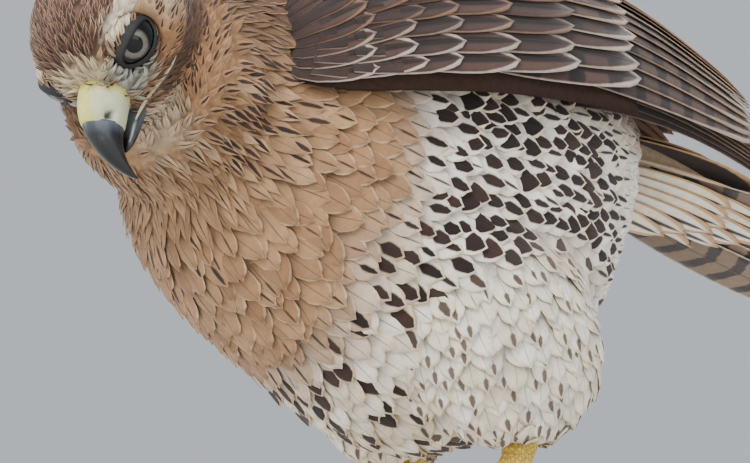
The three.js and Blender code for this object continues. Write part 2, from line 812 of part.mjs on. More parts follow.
function toe(side, spec) {
  const { line } = toeLine(side, spec);
  const stations = 7;
  const rings = [];
  for (let i = 0; i < stations; i++) {
    const t = i / (stations - 1);
    const at = line.getPoint(t);
    const ahead = line.getTangent(t);
    const across = ahead.clone().cross(V(0, 0, 1)).normalize();
    const up = across.clone().cross(ahead).normalize();
    const pad = 1 + 0.08 * Math.cos(t * 3 * 2 * Math.PI);
    const r = lerp(spec.root, spec.end, t) * pad * (i === stations - 1 ? 0.72 : 1);
    const place = (a, u) => at.clone().addScaledVector(across, a).addScaledVector(up, u);
    rings.push(oval(8, r, r, at.z + SOLE_SINK, 2, place));
  }
  return solid(loft(rings));
}

function underFloor() {
  const [wide, deep] = [400, 40];
  return solid(new THREE.BoxGeometry(wide, wide, deep).translate(0, 0, -deep / 2));
}

function disc(at, radius, bottom, top, corners) {
  return wasm.Manifold.cylinder(top - bottom, radius, radius, corners).translate([at.x, at.y, bottom]);
}

function foot(side, clear) {
  const at = side === LEFT ? FOOT_AT.left : FOOT_AT.right;
  const ball = new THREE.SphereGeometry(FOOT_BALL, 12, 8);
  ball.scale(1, 1.05, 1).translate(at.x, at.y + 1, FOOT_BALL_Z);
  const whole = join([solid(ball), ...TOES.map((t) => toe(side, t))]).subtract(underFloor());
  const fold = disc(at, PAD_RADIUS + PAD_FOLD, -1, PAD_FOLD_DEEP, 14);
  const pad = disc(at, PAD_RADIUS, 0, PAD_FOLD_DEEP + 1, 7);
  const claws = TOES.map((t) => talon(side, t, GAP));
  return largest([...clear, ...claws].reduce((w, c) => w.subtract(c), whole.subtract(fold).add(pad)));
}

function talon(side, spec, extra = 0) {
  // An arc that rises out of the toe's end and comes down to a point just over the floor
  const { line, ahead } = toeLine(side, spec);
  const start = line.getPoint(1).addScaledVector(ahead, -CLAW_SUNK - extra);
  start.z = spec.end + 0.2;
  const stations = 7;
  const bend = spec.claw / 2 / Math.sin(CLAW_SWEEP / 2);
  const across = ahead.clone().cross(V(0, 0, 1)).normalize();
  const arc = (t) => {
    const turn = CLAW_RISE - CLAW_SWEEP * t;
    const at = start
      .clone()
      .addScaledVector(ahead, bend * (Math.sin(CLAW_RISE) - Math.sin(turn)))
      .add(V(0, 0, bend * (Math.cos(turn) - Math.cos(CLAW_RISE))));
    const heading = ahead.clone().multiplyScalar(Math.cos(turn)).add(V(0, 0, Math.sin(turn)));
    return { at, heading };
  };
  const rings = Array.from({ length: stations }, (_, i) => {
    const t = i / stations;
    const { at, heading } = arc(t);
    const up = across.clone().cross(heading).normalize();
    const r = spec.end * CLAW_STOUT * (1 - t) ** 0.75 + extra;
    const place = (a, u) => at.clone().addScaledVector(across, a).addScaledVector(up, u);
    return oval(8, r * 0.8, r, r, 2, place);
  });
  return largest(solid(loft([...rings, [arc(1).at]])).subtract(underFloor()));
}

// The whole bird

const PAINT = {
  brown: { color: 0x5a4334, roughness: 0.85 },
  buff: { color: 0xb89a74, roughness: 0.9 },
  cream: { color: 0xe9dfc8, roughness: 0.9 },
  cere: { color: 0xc9cf86, roughness: 0.5 },
  horn: { color: 0x23252b, roughness: 0.3 },
  skin: { color: 0xd9b13a, roughness: 0.6 },
  eye: { color: 0x8f8c7c, roughness: 0.08 },
};

const bird = new THREE.Group();

function add(name, made, paint) {
  const g = meshed(made);
  g.computeVertexNormals();
  const node = new THREE.Mesh(g, new THREE.MeshStandardMaterial({ ...PAINT[paint], metalness: 0 }));
  node.name = name;
  bird.add(node);
}

function build() {
  const trunkBlock = trunk(GAP);
  const headBlock = headForm(GAP);
  add("torso", trunk(), "buff");

  const neckMade = largest(neck().subtract(trunkBlock).subtract(headBlock));
  add("neck", neckMade, "buff");
  const neckBlock = neck(GAP);

  let headMade = join([headForm(), lids(LEFT), lids(RIGHT)]);
  for (const side of [LEFT, RIGHT]) headMade = headMade.subtract(eyeball(side, GAP));
  add("head", largest(headMade.subtract(trunkBlock)), "brown");
  add("left_eye", eyeball(LEFT), "eye");
  add("right_eye", eyeball(RIGHT), "eye");
  add("cere", cere(), "cere");
  add("upper_bill", upperBill(), "horn");
  add("lower_bill", lowerBill([billBlock()]), "horn");

  const bodyBlocks = [trunkBlock, neckBlock, headBlock];
  add("left_wing", wing(LEFT, [...bodyBlocks, thigh(LEFT, GAP)]), "brown");
  add("right_wing", wing(RIGHT, [...bodyBlocks, thigh(RIGHT, GAP)]), "brown");
  add("tail", tail([trunkBlock]), "brown");

  for (const [name, side] of [["left", LEFT], ["right", RIGHT]]) {
    const tarsusBlock = tarsus(side, GAP);
    add(name + "_thigh", largest(thigh(side).subtract(trunkBlock).subtract(tarsusBlock)), "cream");
    add(name + "_tarsus", tarsus(side), "skin");
    add(name + "_foot", foot(side, [tarsusBlock]), "skin");
    TOES.forEach((spec, i) => add(name + "_talon_" + (i + 1), talon(side, spec), "horn"));
  }
}

build();

export default bird;
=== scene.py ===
import math

import bmesh
import bpy
import numpy as np
from bpy.props import FloatProperty, FloatVectorProperty, IntProperty, PointerProperty
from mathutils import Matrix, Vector
from mathutils.bvhtree import BVHTree


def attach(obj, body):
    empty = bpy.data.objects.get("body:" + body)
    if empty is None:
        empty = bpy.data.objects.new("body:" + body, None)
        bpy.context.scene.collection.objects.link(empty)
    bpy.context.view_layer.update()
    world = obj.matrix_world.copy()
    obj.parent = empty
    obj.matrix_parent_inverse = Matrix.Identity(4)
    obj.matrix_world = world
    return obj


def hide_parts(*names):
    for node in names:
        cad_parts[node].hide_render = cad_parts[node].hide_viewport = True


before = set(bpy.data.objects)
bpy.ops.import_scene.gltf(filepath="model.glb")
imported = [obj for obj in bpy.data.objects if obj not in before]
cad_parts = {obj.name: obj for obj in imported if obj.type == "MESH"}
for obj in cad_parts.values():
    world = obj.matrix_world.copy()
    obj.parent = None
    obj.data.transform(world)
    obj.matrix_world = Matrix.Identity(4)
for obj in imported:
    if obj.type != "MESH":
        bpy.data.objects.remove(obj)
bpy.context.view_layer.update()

bl_info = {
    "name": "Red-tailed hawk",
    "version": (1, 0, 0),
    "blender": (4, 5, 0),
    "location": "View3D > Sidebar > Hawk",
    "description": "A young red-tailed hawk with its coat of feathers, eyes, bill and feet",
    "category": "Object",
}

MM = 0.001

# Measures, in millimetres, in the frame of the solids: the bird faces -Y, its left side is +X

MID_X = -41.0
BODY_ROLL = math.radians(8)
ROLL_HEIGHT = 165.0
LEFT, RIGHT = 1, -1

HEAD_CENTRE = np.array([43.0 + MID_X, -138.5, 175.4])
HEAD_TURN, HEAD_NOD, HEAD_TILT = (math.radians(a) for a in (50.4, 70.9, 34.2))
HEAD_SIZE = 0.97
OPENING_AT = (7.0, 18.7, 3.0)
SOCKET_REACH = 9.0

EYE_RADIUS = 9.2
EYE_AT = (4.0, 14.0, 3.0)
EYE_LOOK = (0.54, 0.84, 0.02)
GOLDEN_ANGLE = math.radians(137.508)
LID_LONG, LID_WIDE = 55.0, 25.0  # half the opening, in degrees round the eye
LID_PROFILE = [  # degrees beyond the opening, distance from the eye's middle
    (0.0, 9.25), (1.2, 9.7), (3.2, 9.8), (5.5, 9.7), (9.0, 9.5), (16.0, 9.3), (26.0, 8.8),
]
CORNEA_RISE = 0.02
BROW_COUNT, BROW_RADIUS, BROW_LENGTH, BROW_WIDTH = 420, 9.75, 4.6, 1.6
EYE_GAZE = (0.67, 0.70, 0.25)

UPPER_BILL = [  # upper edge (forward, up), lower edge (forward, up), half width
    (13, 6.6, 12, -9.6, 8.4), (19, 6.2, 17, -9.8, 7.5), (24, 5.8, 21, -10, 6.7),
    (28.5, 4.6, 25, -10.4, 5.9), (32.3, 2.2, 28.4, -10.8, 5.1), (35.4, -1.6, 31.2, -11.4, 4.3),
    (37.7, -6.2, 33.6, -12.8, 3.3), (38.8, -11, 35.8, -15.2, 2.3), (38.9, -15.8, 37.2, -18, 1.3),
    (38.2, -19.9, 37.8, -20.3, 0.35),
]
CERE_END = 3.4  # in sections from the first
LOWER_BILL = [
    (12, -10.2, 12, -17.4, 7.4), (17, -10.4, 17, -17, 6.3), (22.5, -10.7, 22.5, -16.4, 5.1),
    (27, -11.3, 27, -15.6, 3.9), (30.2, -12, 29.8, -14.6, 2.6), (31.6, -13.1, 31.5, -13.9, 0.6),
]
CERE_OVERLAP = 0.12
NOSTRIL_AT, NOSTRIL_REACH, NOSTRIL_DEPTH = (26.6, 6.1, -1.0), (2.4, 3.5, 1.5), 1.9
GAPE_LINE = [(23, 6.4, -10.6), (17, 9.4, -11.0), (11, 14.0, -11.8), (6, 17.4, -12.6), (2, 19.2, -12.8)]

WRIST_Y = -74.0
WING_TIP_Y = 300.0
WING_LOWER = [  # y, x, z before the body's roll
    (-74, 50, 172), (-64, 62, 166), (-42, 71, 167), (0, 74, 173), (50, 69, 181),
    (100, 58, 187), (150, 46, 189), (200, 34, 186), (250, 23, 179), (300, 14, 169),
]
WING_UPPER = [
    (-74, 34, 208), (-64, 27, 224), (-42, 16, 242), (0, 11, 256), (50, 10, 264),
    (100, 9, 262), (150, 8, 248), (200, 7, 229), (250, 6, 208), (300, 5, 184),
]
RIGHT_WING_DROOP = 22.0
ARM_END_Y = 78.0
SPINE_SINK = 4.2

TAIL_ROOT = (0.0, 96.0, 198.0)
TAIL_DROP = math.radians(9)
TAIL_LENGTH = 244.0
TAIL_COVERTS = [(7, 6.5, 122), (6, 9.0, 96), (7, -7.0, 128), (6, -9.5, 100)]  # count, height, reach
TAIL_BULK = [(2, 2, 17, 15), (20, 20, 22, 12), (45, 45, 22, 7.5), (70, 70, 19, 3.6)]

FOOT_AT = {LEFT: (0.0, 0.0), RIGHT: (-82.0, 14.0)}
TARSUS_TOP = (2.5, 33.0, 76.0)
TARSUS_FOOT = (0.0, 3.0, 9.0)
TARSUS_RADII = [6.4, 5.6, 5.0, 4.9, 5.3, 6.6]
TOES = [  # turn from straight ahead, length, root radius, end radius, claw
    (-26, 36, 5.6, 4.5, 23), (6, 48, 5.6, 4.3, 21), (44, 38, 5.2, 4.0, 18), (172, 28, 5.6, 4.6, 24),
]
TOE_ARCH = [(0.02, 7.0), (0.4, 6.6), (0.75, 5.0)]
SOLE_SINK = 1.1
TOE_STATIONS = 60
TOE_PLATE, TOE_PLATE_RISE = 3.4, 0.7
TARSUS_PLATES, TARSUS_PLATE_RISE = 11, 1.1
BALL_AT, BALL_RADIUS = np.array([0, 1, 7.4]), 8.8
CLAW_RISE = math.radians(42)
CLAW_SWEEP = math.radians(104)
CLAW_SET_BACK, CLAW_FLATNESS = 3.4, 0.8

# How a vane is built: outlines are rows of place along and share of the half width

ROUND_VANE = [(0, 0.3), (0.3, 0.85), (0.62, 1.0), (0.86, 0.76), (0.95, 0.5), (1, 0.1)]
POINTED_VANE = [(0, 0.35), (0.3, 0.9), (0.6, 0.82), (0.86, 0.4), (1, 0.06)]
CLOSER_TO_TIP = 1.4  # over 1 sets the stations closer together towards the tip
ROOT_SINK = 0.6
CAMBER = 0.1
RAGGED = 0.14
SWEPT_EDGES = 0.06
FLIGHT_SHINGLE, FLIGHT_CAMBER, FLIGHT_SWEEP = 0.16, 0.05, 0.02
FLIGHT_THICKNESS = 0.0004  # metres
LID_THICKNESS = 0.0005
BAKE_PATCH = 0.003
END_SHARE = 0.02  # the width of a tube's drawn-in ends

# Where the coat changes. A patch lies where each of its ramps along an axis has risen from 0 to 1.

X, Y, Z = 0, 1, 2  # to the side, towards the tail and up, in the body's own upright frame
F, S, U = 0, 1, 2  # forward, to the side and up, in the head's frame
BODY_PATCHES = {
    "back": [(Z, 165, 215)],
    "flank": [(X, 30, 58), (Y, -55, -20)],
    "belly": [(Y, -50, -28)],
    "low_belly": [(Y, -66, -40), (Z, 138, 112)],
    "vent": [(Y, 40, 85)],
    "throat": [(X, 24, 12), (Y, -84, -98)],
}
HEAD_PATCHES = {
    "crown": [(U, 6, 13)],
    "malar": [(U, -9, -13), (U, -23, -19), (S, 5, 9), (F, 17, 12)],
    "chin": [(U, -19, -23), (S, 14, 8), (F, -9, 3)],
    "throat": [(S, 8, 4), (U, -8, -14), (F, -9, 3)],
    "brow": [(U, 8, 10), (U, 15, 13), (S, 11, 15), (F, -12, -4)],
    "behind_eye": [(S, 10, 15)],
    "lore": [(F, 7, 11), (U, 8, 4), (U, -10, -6), (S, 4, 7)],
    "forehead": [(F, 12, 17), (U, 2, 7)],
}
CRESCENT_AT, CRESCENT_REACH = (-9, 2), (4.5, 9)
LEG_TOP_Z, NAPE_Z, NECK_SIDE_Z = (120, 146), (172, 205), (138, 160)
HEAD_MIDDLE, HEAD_REACH = (-6, 0, 0), (30, 46)
NECK_Y, NECK_Z = (-62, -100), (118, 150)
THIGH_AT, THIGH_REACH, RIGHT_THIGH_BACK = (50, 14, 98), (27, 50, 50), 12.0
LEG_COAT_END_Z = 60
UNDER_WING_BACK, UNDER_WING_UP, SPINE_HALF = 22, 10, 14
EYE_BARE_SHAPE, EYE_BARE_REACH = (0.8, 1, 1.3), 6.3
BILL_BARE_FROM, BILL_BARE_TO, BILL_BARE_REACH = 17.4, 44, 17
FOREHEAD_REACH = 3.4  # how much further the feathers run over the cere from above

# Spacing of the small feathers, and the length and width of each as shares of it

TRUNK_GAP, LEG_GAP, NECK_GAP, FACE_GAP, CROWN_GAP = 5.3, 4.7, 2.7, 1.35, 2.6
TRUNK_LENGTH, NECK_LENGTH, HEAD_LENGTH = 3.0, 4.2, 4.0
TRUNK_WIDTH, NECK_WIDTH, HEAD_WIDTH = 1.9, 1.35, 1.25
NECK_DEPTH, HEAD_DEPTH, FOREHEAD_DEPTH = 1.8, 0.75, 2.2
NECK_LIE, LEG_LIE = np.array([-0.34, 0.9, -0.22]), np.array([0.0, 0.35, -1.0])
ROOT_CELL = 2.4
PLACES_ON_A_FACE = 4

# The skin under the coat

FLESH = ("torso", "neck", "head", "left_thigh", "right_thigh")
SKIN_VOXEL = 0.0022  # metres
SKIN_SMOOTHING, SKIN_ROUNDS = 0.6, 14
SKIN_SHARE, HEAD_UNDER, NECK_UNDER = 0.9, 1.1, 2.0
SKIN_SHADE = 0.8

# The stage, in metres

CAMERA_AT, CAMERA_AIM = (0.39775, -0.31351, 0.01403), (0.0, -0.035, 0.1333)
LIGHTS_AIM = (-0.02, -0.03, 0.15)
SKY_COLOUR, SKY_STRENGTH = (0.84, 0.89, 0.97, 1), 0.66
LIGHTS = [  # name, place, share of the main light's power, size
    ("key", (1.1, -1.5, 1.5), 1.0, 1.0),
    ("fill", (1.5, -0.2, 0.12), 0.24, 1.2),
    ("breast", (-0.5, -1.5, 0.3), 0.26, 0.9),
    ("rim", (-0.9, 1.2, 1.3), 0.7, 1.0),
]


def tone(text):
    """A colour written as six hex digits, in the linear values that shaders take."""
    parts = [int(text[i:i + 2], 16) / 255 for i in (0, 2, 4)]
    return np.array([c / 12.92 if c <= 0.04045 else ((c + 0.055) / 1.055) ** 2.4 for c in parts])


def rgba(text):
    return (*tone(text), 1.0)


def tones(*texts):
    return [tone(text) for text in texts]


# Colours; a pair is the range that a feather's own colour is drawn from

CREAM, WHITE, BUFF, RUST = tones("e6d8bd", "efe9df", "c39a70", "a8754c")
BROWN, CHOCOLATE, BLACK_BROWN, PINK_WHITE = tones("5a4334", "3a2822", "1f1613", "dccabd")
BREAST = tones("8f6a4b", "a9845f")
LEG_TOP, LEG_DOT = tones("c08d5f", "6a5a4e")
THROAT, NECK_SIDE = tones("8f6d4e", "aa8661"), tones("86603f", "bd9c7b")
NAPE_END, NECK_MARK, NECK_FRINGE = tone("6f4f39"), tones("2f211c", "4b342a"), tones("b3906c", "946c4c")
FACE, CROWN, MALAR = tones("b08660", "8e6647"), tones("4b362f", "6d5046"), tone("4a362d")
CHIN, BROW, CRESCENT, LORE, FOREHEAD = tones("cdb89a", "e2d2bb", "dfcdb2", "a3a296", "d9c8a6")
HEAD_MARK, HEAD_FRINGE = tones("35261f", "4a3429"), tones("a4805f", "c6a27a")
SOCKET = tone("2e2a29")
COVERT, COVERT_MARK, COVERT_FRINGE = tones("523a31", "392722"), tone("2a1c19"), tones("8d6b52", "624637")
PRIMARY, SECONDARY = tones("3a2c27", "2a1f1c"), tones("594338", "463329")
SECONDARY_FRINGE = tones("b59a80", "8c6c54")
GREATER_FRINGE, LOW_FRINGE, ARM = tones("a9876a", "cfc0b4", "3a2a24")
RECTRIX = tones("8a7058", "75604c")
RECTRIX_MARK, RECTRIX_FRINGE, TAIL_STUB = tones("2e221d", "d9cbb6", "8d7a66")
LID_INNER, LID_OUTER = tones("0b0b0d", "1f1b1a")
# the nostrils' dark tone is painted shade
CERE_EDGE, CERE_SIDE, NOSTRIL_SHADE = tones("e6e0b0", "c3c6ae", "1a1a16")
# the mouth line's dark tone is painted shade
GAPE, MOUTH_SHADE = tones("b3a688", "2b211d")
CLAW_BASE, CLAW_TIP = tones("3a3a3e", "0d0d0f")


# Shapes

def smooth(x, a, b):
    t = np.clip((np.asarray(x, float) - a) / (b - a), 0, 1)
    return t * t * (3 - 2 * t)


def unit(v):
    return v / np.maximum(np.linalg.norm(v, axis=-1, keepdims=True), 1e-9)


def mix(a, b, t):
    """Between a and b, which are numbers, or colours or places of three numbers each."""
    t = np.asarray(t, float)
    shape = np.broadcast_shapes(np.shape(a), np.shape(b))
    return a + (b - a) * (t[..., None] if shape and shape[-1] == 3 else t)


def table(rows):
    """A smooth curve through rows of key and values, read at any keys."""
    rows = np.array(rows, float)
    keys, values = rows[:, 0], rows[:, 1:]
    before = np.maximum(np.arange(len(keys)) - 1, 0)
    after = np.minimum(np.arange(len(keys)) + 1, len(keys) - 1)
    slope = (values[after] - values[before]) / (keys[after] - keys[before])[:, None]

    def at(key):
        k = np.clip(np.asarray(key, float), keys[0], keys[-1])
        i = np.clip(np.searchsorted(keys, k) - 1, 0, len(keys) - 2)
        span = keys[i + 1] - keys[i]
        t = ((k - keys[i]) / span)[..., None]
        t2, t3 = t * t, t * t * t
        bends = (t3 - 2 * t2 + t) * slope[i] + (t3 - t2) * slope[i + 1]
        straight = (2 * t3 - 3 * t2 + 1) * values[i] + (3 * t2 - 2 * t3) * values[i + 1]
        return straight + bends * span[..., None]

    return at


def numbered(rows):
    return table([(i, *row) for i, row in enumerate(rows)])


def rolled(p):
    """From the body's own upright frame into the model's."""
    c, s = math.cos(BODY_ROLL), math.sin(BODY_ROLL)
    x, y, z = p[..., 0], p[..., 1], p[..., 2] - ROLL_HEIGHT
    return np.stack([MID_X + x * c - z * s, y, ROLL_HEIGHT + x * s + z * c], -1)


def unrolled(p):
    c, s = math.cos(BODY_ROLL), math.sin(BODY_ROLL)
    x, y, z = p[..., 0] - MID_X, p[..., 1], p[..., 2] - ROLL_HEIGHT
    return np.stack([x * c + z * s, y, ROLL_HEIGHT - x * s + z * c], -1)


def head_axes():
    turn, nod, tilt = HEAD_TURN, HEAD_NOD, HEAD_TILT
    ahead = np.array([math.sin(turn), -math.cos(turn), 0])
    left = np.array([math.cos(turn), math.sin(turn), 0])
    up = np.array([0.0, 0.0, 1.0])
    forward = ahead * math.cos(nod) - up * math.sin(nod)
    crown = up * math.cos(nod) + ahead * math.sin(nod)
    side = left * math.cos(tilt) + crown * math.sin(tilt)
    over = crown * math.cos(tilt) - left * math.sin(tilt)
    return np.array([forward, side, over])


HEAD_AXES = head_axes()


def in_head(p):
    return HEAD_CENTRE + HEAD_SIZE * np.asarray(p, float) @ HEAD_AXES


def from_head(p):
    return (p - HEAD_CENTRE) @ HEAD_AXES.T / HEAD_SIZE


def sided(p, side):
    """A place or a direction of the head, given for the left side, on either side."""
    return np.array([p[0], p[1] * side, p[2]])


def circle(n):
    return np.linspace(0, 2 * math.pi, n, endpoint=False)


wing_lower = table(WING_LOWER)
wing_upper = table(WING_UPPER)


def droop_of(y):
    """How far the right wing hangs below the left: most at the wrist, nothing at the tip."""
    return RIGHT_WING_DROOP * (WING_TIP_Y - y) / (WING_TIP_Y - WRIST_Y)


def wing_skin(side, y, b):
    """The folded wing's surface: b runs from its lower edge, 0, to the spine, 1."""
    low, high = wing_lower(y), wing_upper(y)
    a = b * math.pi / 2
    droop = droop_of(y) if side == RIGHT else 0.0
    x = high[..., 0] + (low[..., 0] - high[..., 0]) * np.cos(a)
    z = low[..., 1] + (high[..., 1] - low[..., 1]) * np.sin(a) - droop
    return rolled(np.stack([x * side, y + 0 * x, z], -1))


def wing_frame(side, y, b):
    """The ways along, over and straight out of the wing's surface."""
    along = wing_skin(side, y + 0.5, b) - wing_skin(side, y - 0.5, b)
    over = (wing_skin(side, y, b + 0.005) - wing_skin(side, y, b - 0.005)) / 0.01
    return along, over, unit(np.cross(along, over) * side)


def tail_point(s, x, z):
    """A place s along the tail, x to its left and z above its middle plane."""
    s, x, z = np.broadcast_arrays(np.asarray(s, float), x, z)
    c, n = math.cos(TAIL_DROP), math.sin(TAIL_DROP)
    root_x, root_y, root_z = TAIL_ROOT
    return rolled(np.stack([root_x + x, root_y + s * c + z * n, root_z - s * n + z * c], -1))


def curve_through(points, n):
    """Points evenly spread along a smooth curve through the given ones."""
    at = numbered(points)
    return at(np.linspace(0, len(points) - 1, n))


# Meshes

def mesh_object(name, points, faces, finish):
    """A new piece from points in millimetres and rows of corner numbers."""
    mesh = bpy.data.meshes.new(name)
    points, faces = np.asarray(points, float), np.asarray(faces, int)
    corners = faces.shape[1]
    mesh.vertices.add(len(points))
    mesh.vertices.foreach_set("co", (points * MM).ravel())
    mesh.loops.add(faces.size)
    mesh.loops.foreach_set("vertex_index", faces.ravel())
    mesh.polygons.add(len(faces))
    mesh.polygons.foreach_set("loop_start", np.arange(0, faces.size, corners))
    mesh.polygons.foreach_set("use_smooth", np.ones(len(faces), bool))
    mesh.update(calc_edges=True)
    mesh.validate()
    piece = bpy.data.objects.new(name, mesh)
    bpy.context.scene.collection.objects.link(piece)
    mesh.materials.append(finish)
    return piece


def paint(piece, name, values):
    """Stores a colour for each point, which the finish reads by name."""
    values = np.asarray(values, float)
    if values.shape[1] == 3:
        values = np.concatenate([values, np.ones((len(values), 1))], 1)
    layer = piece.data.attributes.new(name, "FLOAT_COLOR", "POINT")
    layer.data.foreach_set("color", values.ravel())


def add_uv(piece, name, places):
    """A UV map from one place for each point."""
    corners = np.empty(len(piece.data.loops), int)
    piece.data.loops.foreach_get("vertex_index", corners)
    piece.data.uv_layers.new(name=name).data.foreach_set("uv", places[corners].ravel())


def rings_round(line, across, up, radius, around):
    """Rings of points round a line; radius is given for each station, or for each point."""
    turn = circle(around)
    across, up = (np.broadcast_to(way, line.shape)[:, None] for way in (across, up))
    wide, high = np.cos(turn) * radius, np.sin(turn) * radius
    return line[:, None] + across * wide[..., None] + up * high[..., None]


def with_ends(values):
    """Values for a tube's rings, with the first and last again for its drawn-in ends."""
    return np.concatenate([values[:1], values, values[-1:]])


def for_each_point(piece, values):
    """Values for each ring point, with the middles of the ends added."""
    extra = len(piece.data.vertices) - len(values)
    return np.concatenate([values, np.repeat(values[-1:], max(extra, 0), 0)])[:len(piece.data.vertices)]


def paint_plain(piece, name, colour):
    paint(piece, name, np.repeat(colour[None], len(piece.data.vertices), 0))


def tube_faces(rows, around):
    i, j = np.meshgrid(np.arange(rows - 1), np.arange(around), indexing="ij")
    here, ahead, n = i * around, (i + 1) * around, (j + 1) % around
    return np.stack([here + j, ahead + j, ahead + n, here + n], -1).reshape(-1, 4)


def solid_tube(name, rings, finish):
    """A closed body over rings of points, with its ends drawn to a point."""
    rings = np.asarray(rings, float)
    rows, around = rings.shape[:2]
    drawn_in = np.full((1, around), END_SHARE)
    first, last = (mix(end.mean(1), end, drawn_in) for end in (rings[:1], rings[-1:]))
    rings = np.concatenate([first, rings, last])
    piece = mesh_object(name, rings.reshape(-1, 3), tube_faces(rows + 2, around), finish)
    close_ends(piece)
    return piece


def close_ends(piece):
    work = bmesh.new()
    work.from_mesh(piece.data)
    bmesh.ops.holes_fill(work, edges=[e for e in work.edges if e.is_boundary], sides=0)
    bmesh.ops.recalc_face_normals(work, faces=work.faces)
    for face in work.faces:
        face.smooth = True
    work.to_mesh(piece.data)
    work.free()


def feather_grid(rows, columns, pointed=False):
    """Stations along a vane, places across it and its half width at each station."""
    along = 1 - (1 - np.arange(rows + 1) / rows) ** CLOSER_TO_TIP
    outline = table(POINTED_VANE if pointed else ROUND_VANE)(along)[:, 0]
    return along, np.linspace(-1, 1, columns + 1), outline


def vane_faces(count, rows, columns):
    """The faces of many equal grids of points, one after another."""
    i, j = np.meshgrid(np.arange(rows), np.arange(columns), indexing="ij")
    a = (i * (columns + 1) + j).ravel()
    one = np.stack([a, a + 1, a + columns + 2, a + columns + 1], -1)
    step = (rows + 1) * (columns + 1)
    return (one[None] + (np.arange(count) * step)[:, None, None]).reshape(-1, 4)


def feather_piece(name, points, along, across, bake, looks, finish):
    """One mesh of many feathers, from points by feather, row and column and each feather's looks."""
    count, rows, columns = points.shape[0], points.shape[1] - 1, points.shape[2] - 1
    faces = vane_faces(count, rows, columns)
    piece = mesh_object(name, points.reshape(-1, 3), faces, finish)
    each = (rows + 1) * (columns + 1)
    for layer, value in looks.items():
        paint(piece, layer, np.repeat(value, each, axis=0))
    u = np.broadcast_to((across * 0.5 + 0.5)[None, None], (count, rows + 1, columns + 1))
    v = np.broadcast_to(along[None, :, None], (count, rows + 1, columns + 1))
    vane = np.stack([u, v], -1).reshape(-1, 2)
    spread = np.stack([u * BAKE_PATCH, v * BAKE_PATCH], -1) + bake[:, None, None]
    add_uv(piece, "Vane", vane)
    add_uv(piece, "OFBake", spread.reshape(-1, 2))
    return piece


# Shader helpers

class Tree:
    """Adds shader nodes in a few words and joins them."""

    def __init__(self, tree):
        self.tree = tree

    def node(self, kind, settings=None, **inputs):
        made = self.tree.nodes.new(kind)
        for key, value in (settings or {}).items():
            setattr(made, key, value)
        for key, value in inputs.items():
            self.feed(made, key.replace("_", " "), value)
        return made

    def feed(self, node, key, value):
        socket = node.inputs[int(key) if key.isdigit() else key]
        if isinstance(value, bpy.types.NodeSocket):
            self.tree.links.new(value, socket)
        else:
            socket.default_value = value

    def math(self, operation, a, b=0.0, clamp=False):
        made = self.node("ShaderNodeMath", {"operation": operation, "use_clamp": clamp})
        self.feed(made, "0", a)
        self.feed(made, "1", b)
        return made.outputs[0]

    def ramp(self, value, low, high):
        made = self.node("ShaderNodeMapRange", {"interpolation_type": "SMOOTHSTEP"})
        for key, v in (("Value", value), ("From Min", low), ("From Max", high)):
            self.feed(made, key, v)
        return made.outputs[0]

    def blend(self, factor, a, b, kind="MIX"):
        made = self.node("ShaderNodeMix", {"data_type": "RGBA", "blend_type": kind})
        self.feed(made, "0", factor)
        self.feed(made, "6", a)
        self.feed(made, "7", b)
        return made.outputs[2]

    def noise(self, scale, detail=3.0, vector=None):
        made = self.node("ShaderNodeTexNoise", Scale=scale, Detail=detail)
        if vector is not None:
            self.feed(made, "Vector", vector)
        return made.outputs["Fac"]

    def place(self):
        return self.node("ShaderNodeTexCoord").outputs["Object"]

    def layer(self, name, out="Color"):
        return self.node("ShaderNodeAttribute", {"attribute_name": name}).outputs[out]


def node_group(name, inputs, outputs):
    """An empty shader node group with named sockets, and its Tree, input sockets and output node."""
    group = bpy.data.node_groups.new(name, "ShaderNodeTree")
    for key, default in inputs:
        made = group.interface.new_socket(key, in_out="INPUT", socket_type="NodeSocketFloat")
        made.default_value = default
    for key in outputs:
        group.interface.new_socket(key, in_out="OUTPUT", socket_type="NodeSocketFloat")
    tree = Tree(group)
    given = tree.node("NodeGroupInput")
    return group, tree, given.outputs, tree.node("NodeGroupOutput")


WAVER_SHARE = 0.35
MARK_CLOSES = (0.84, 0.99)
MARK_EDGE = (-0.07, 0.12)
FRINGE_SOFTNESS = 0.06


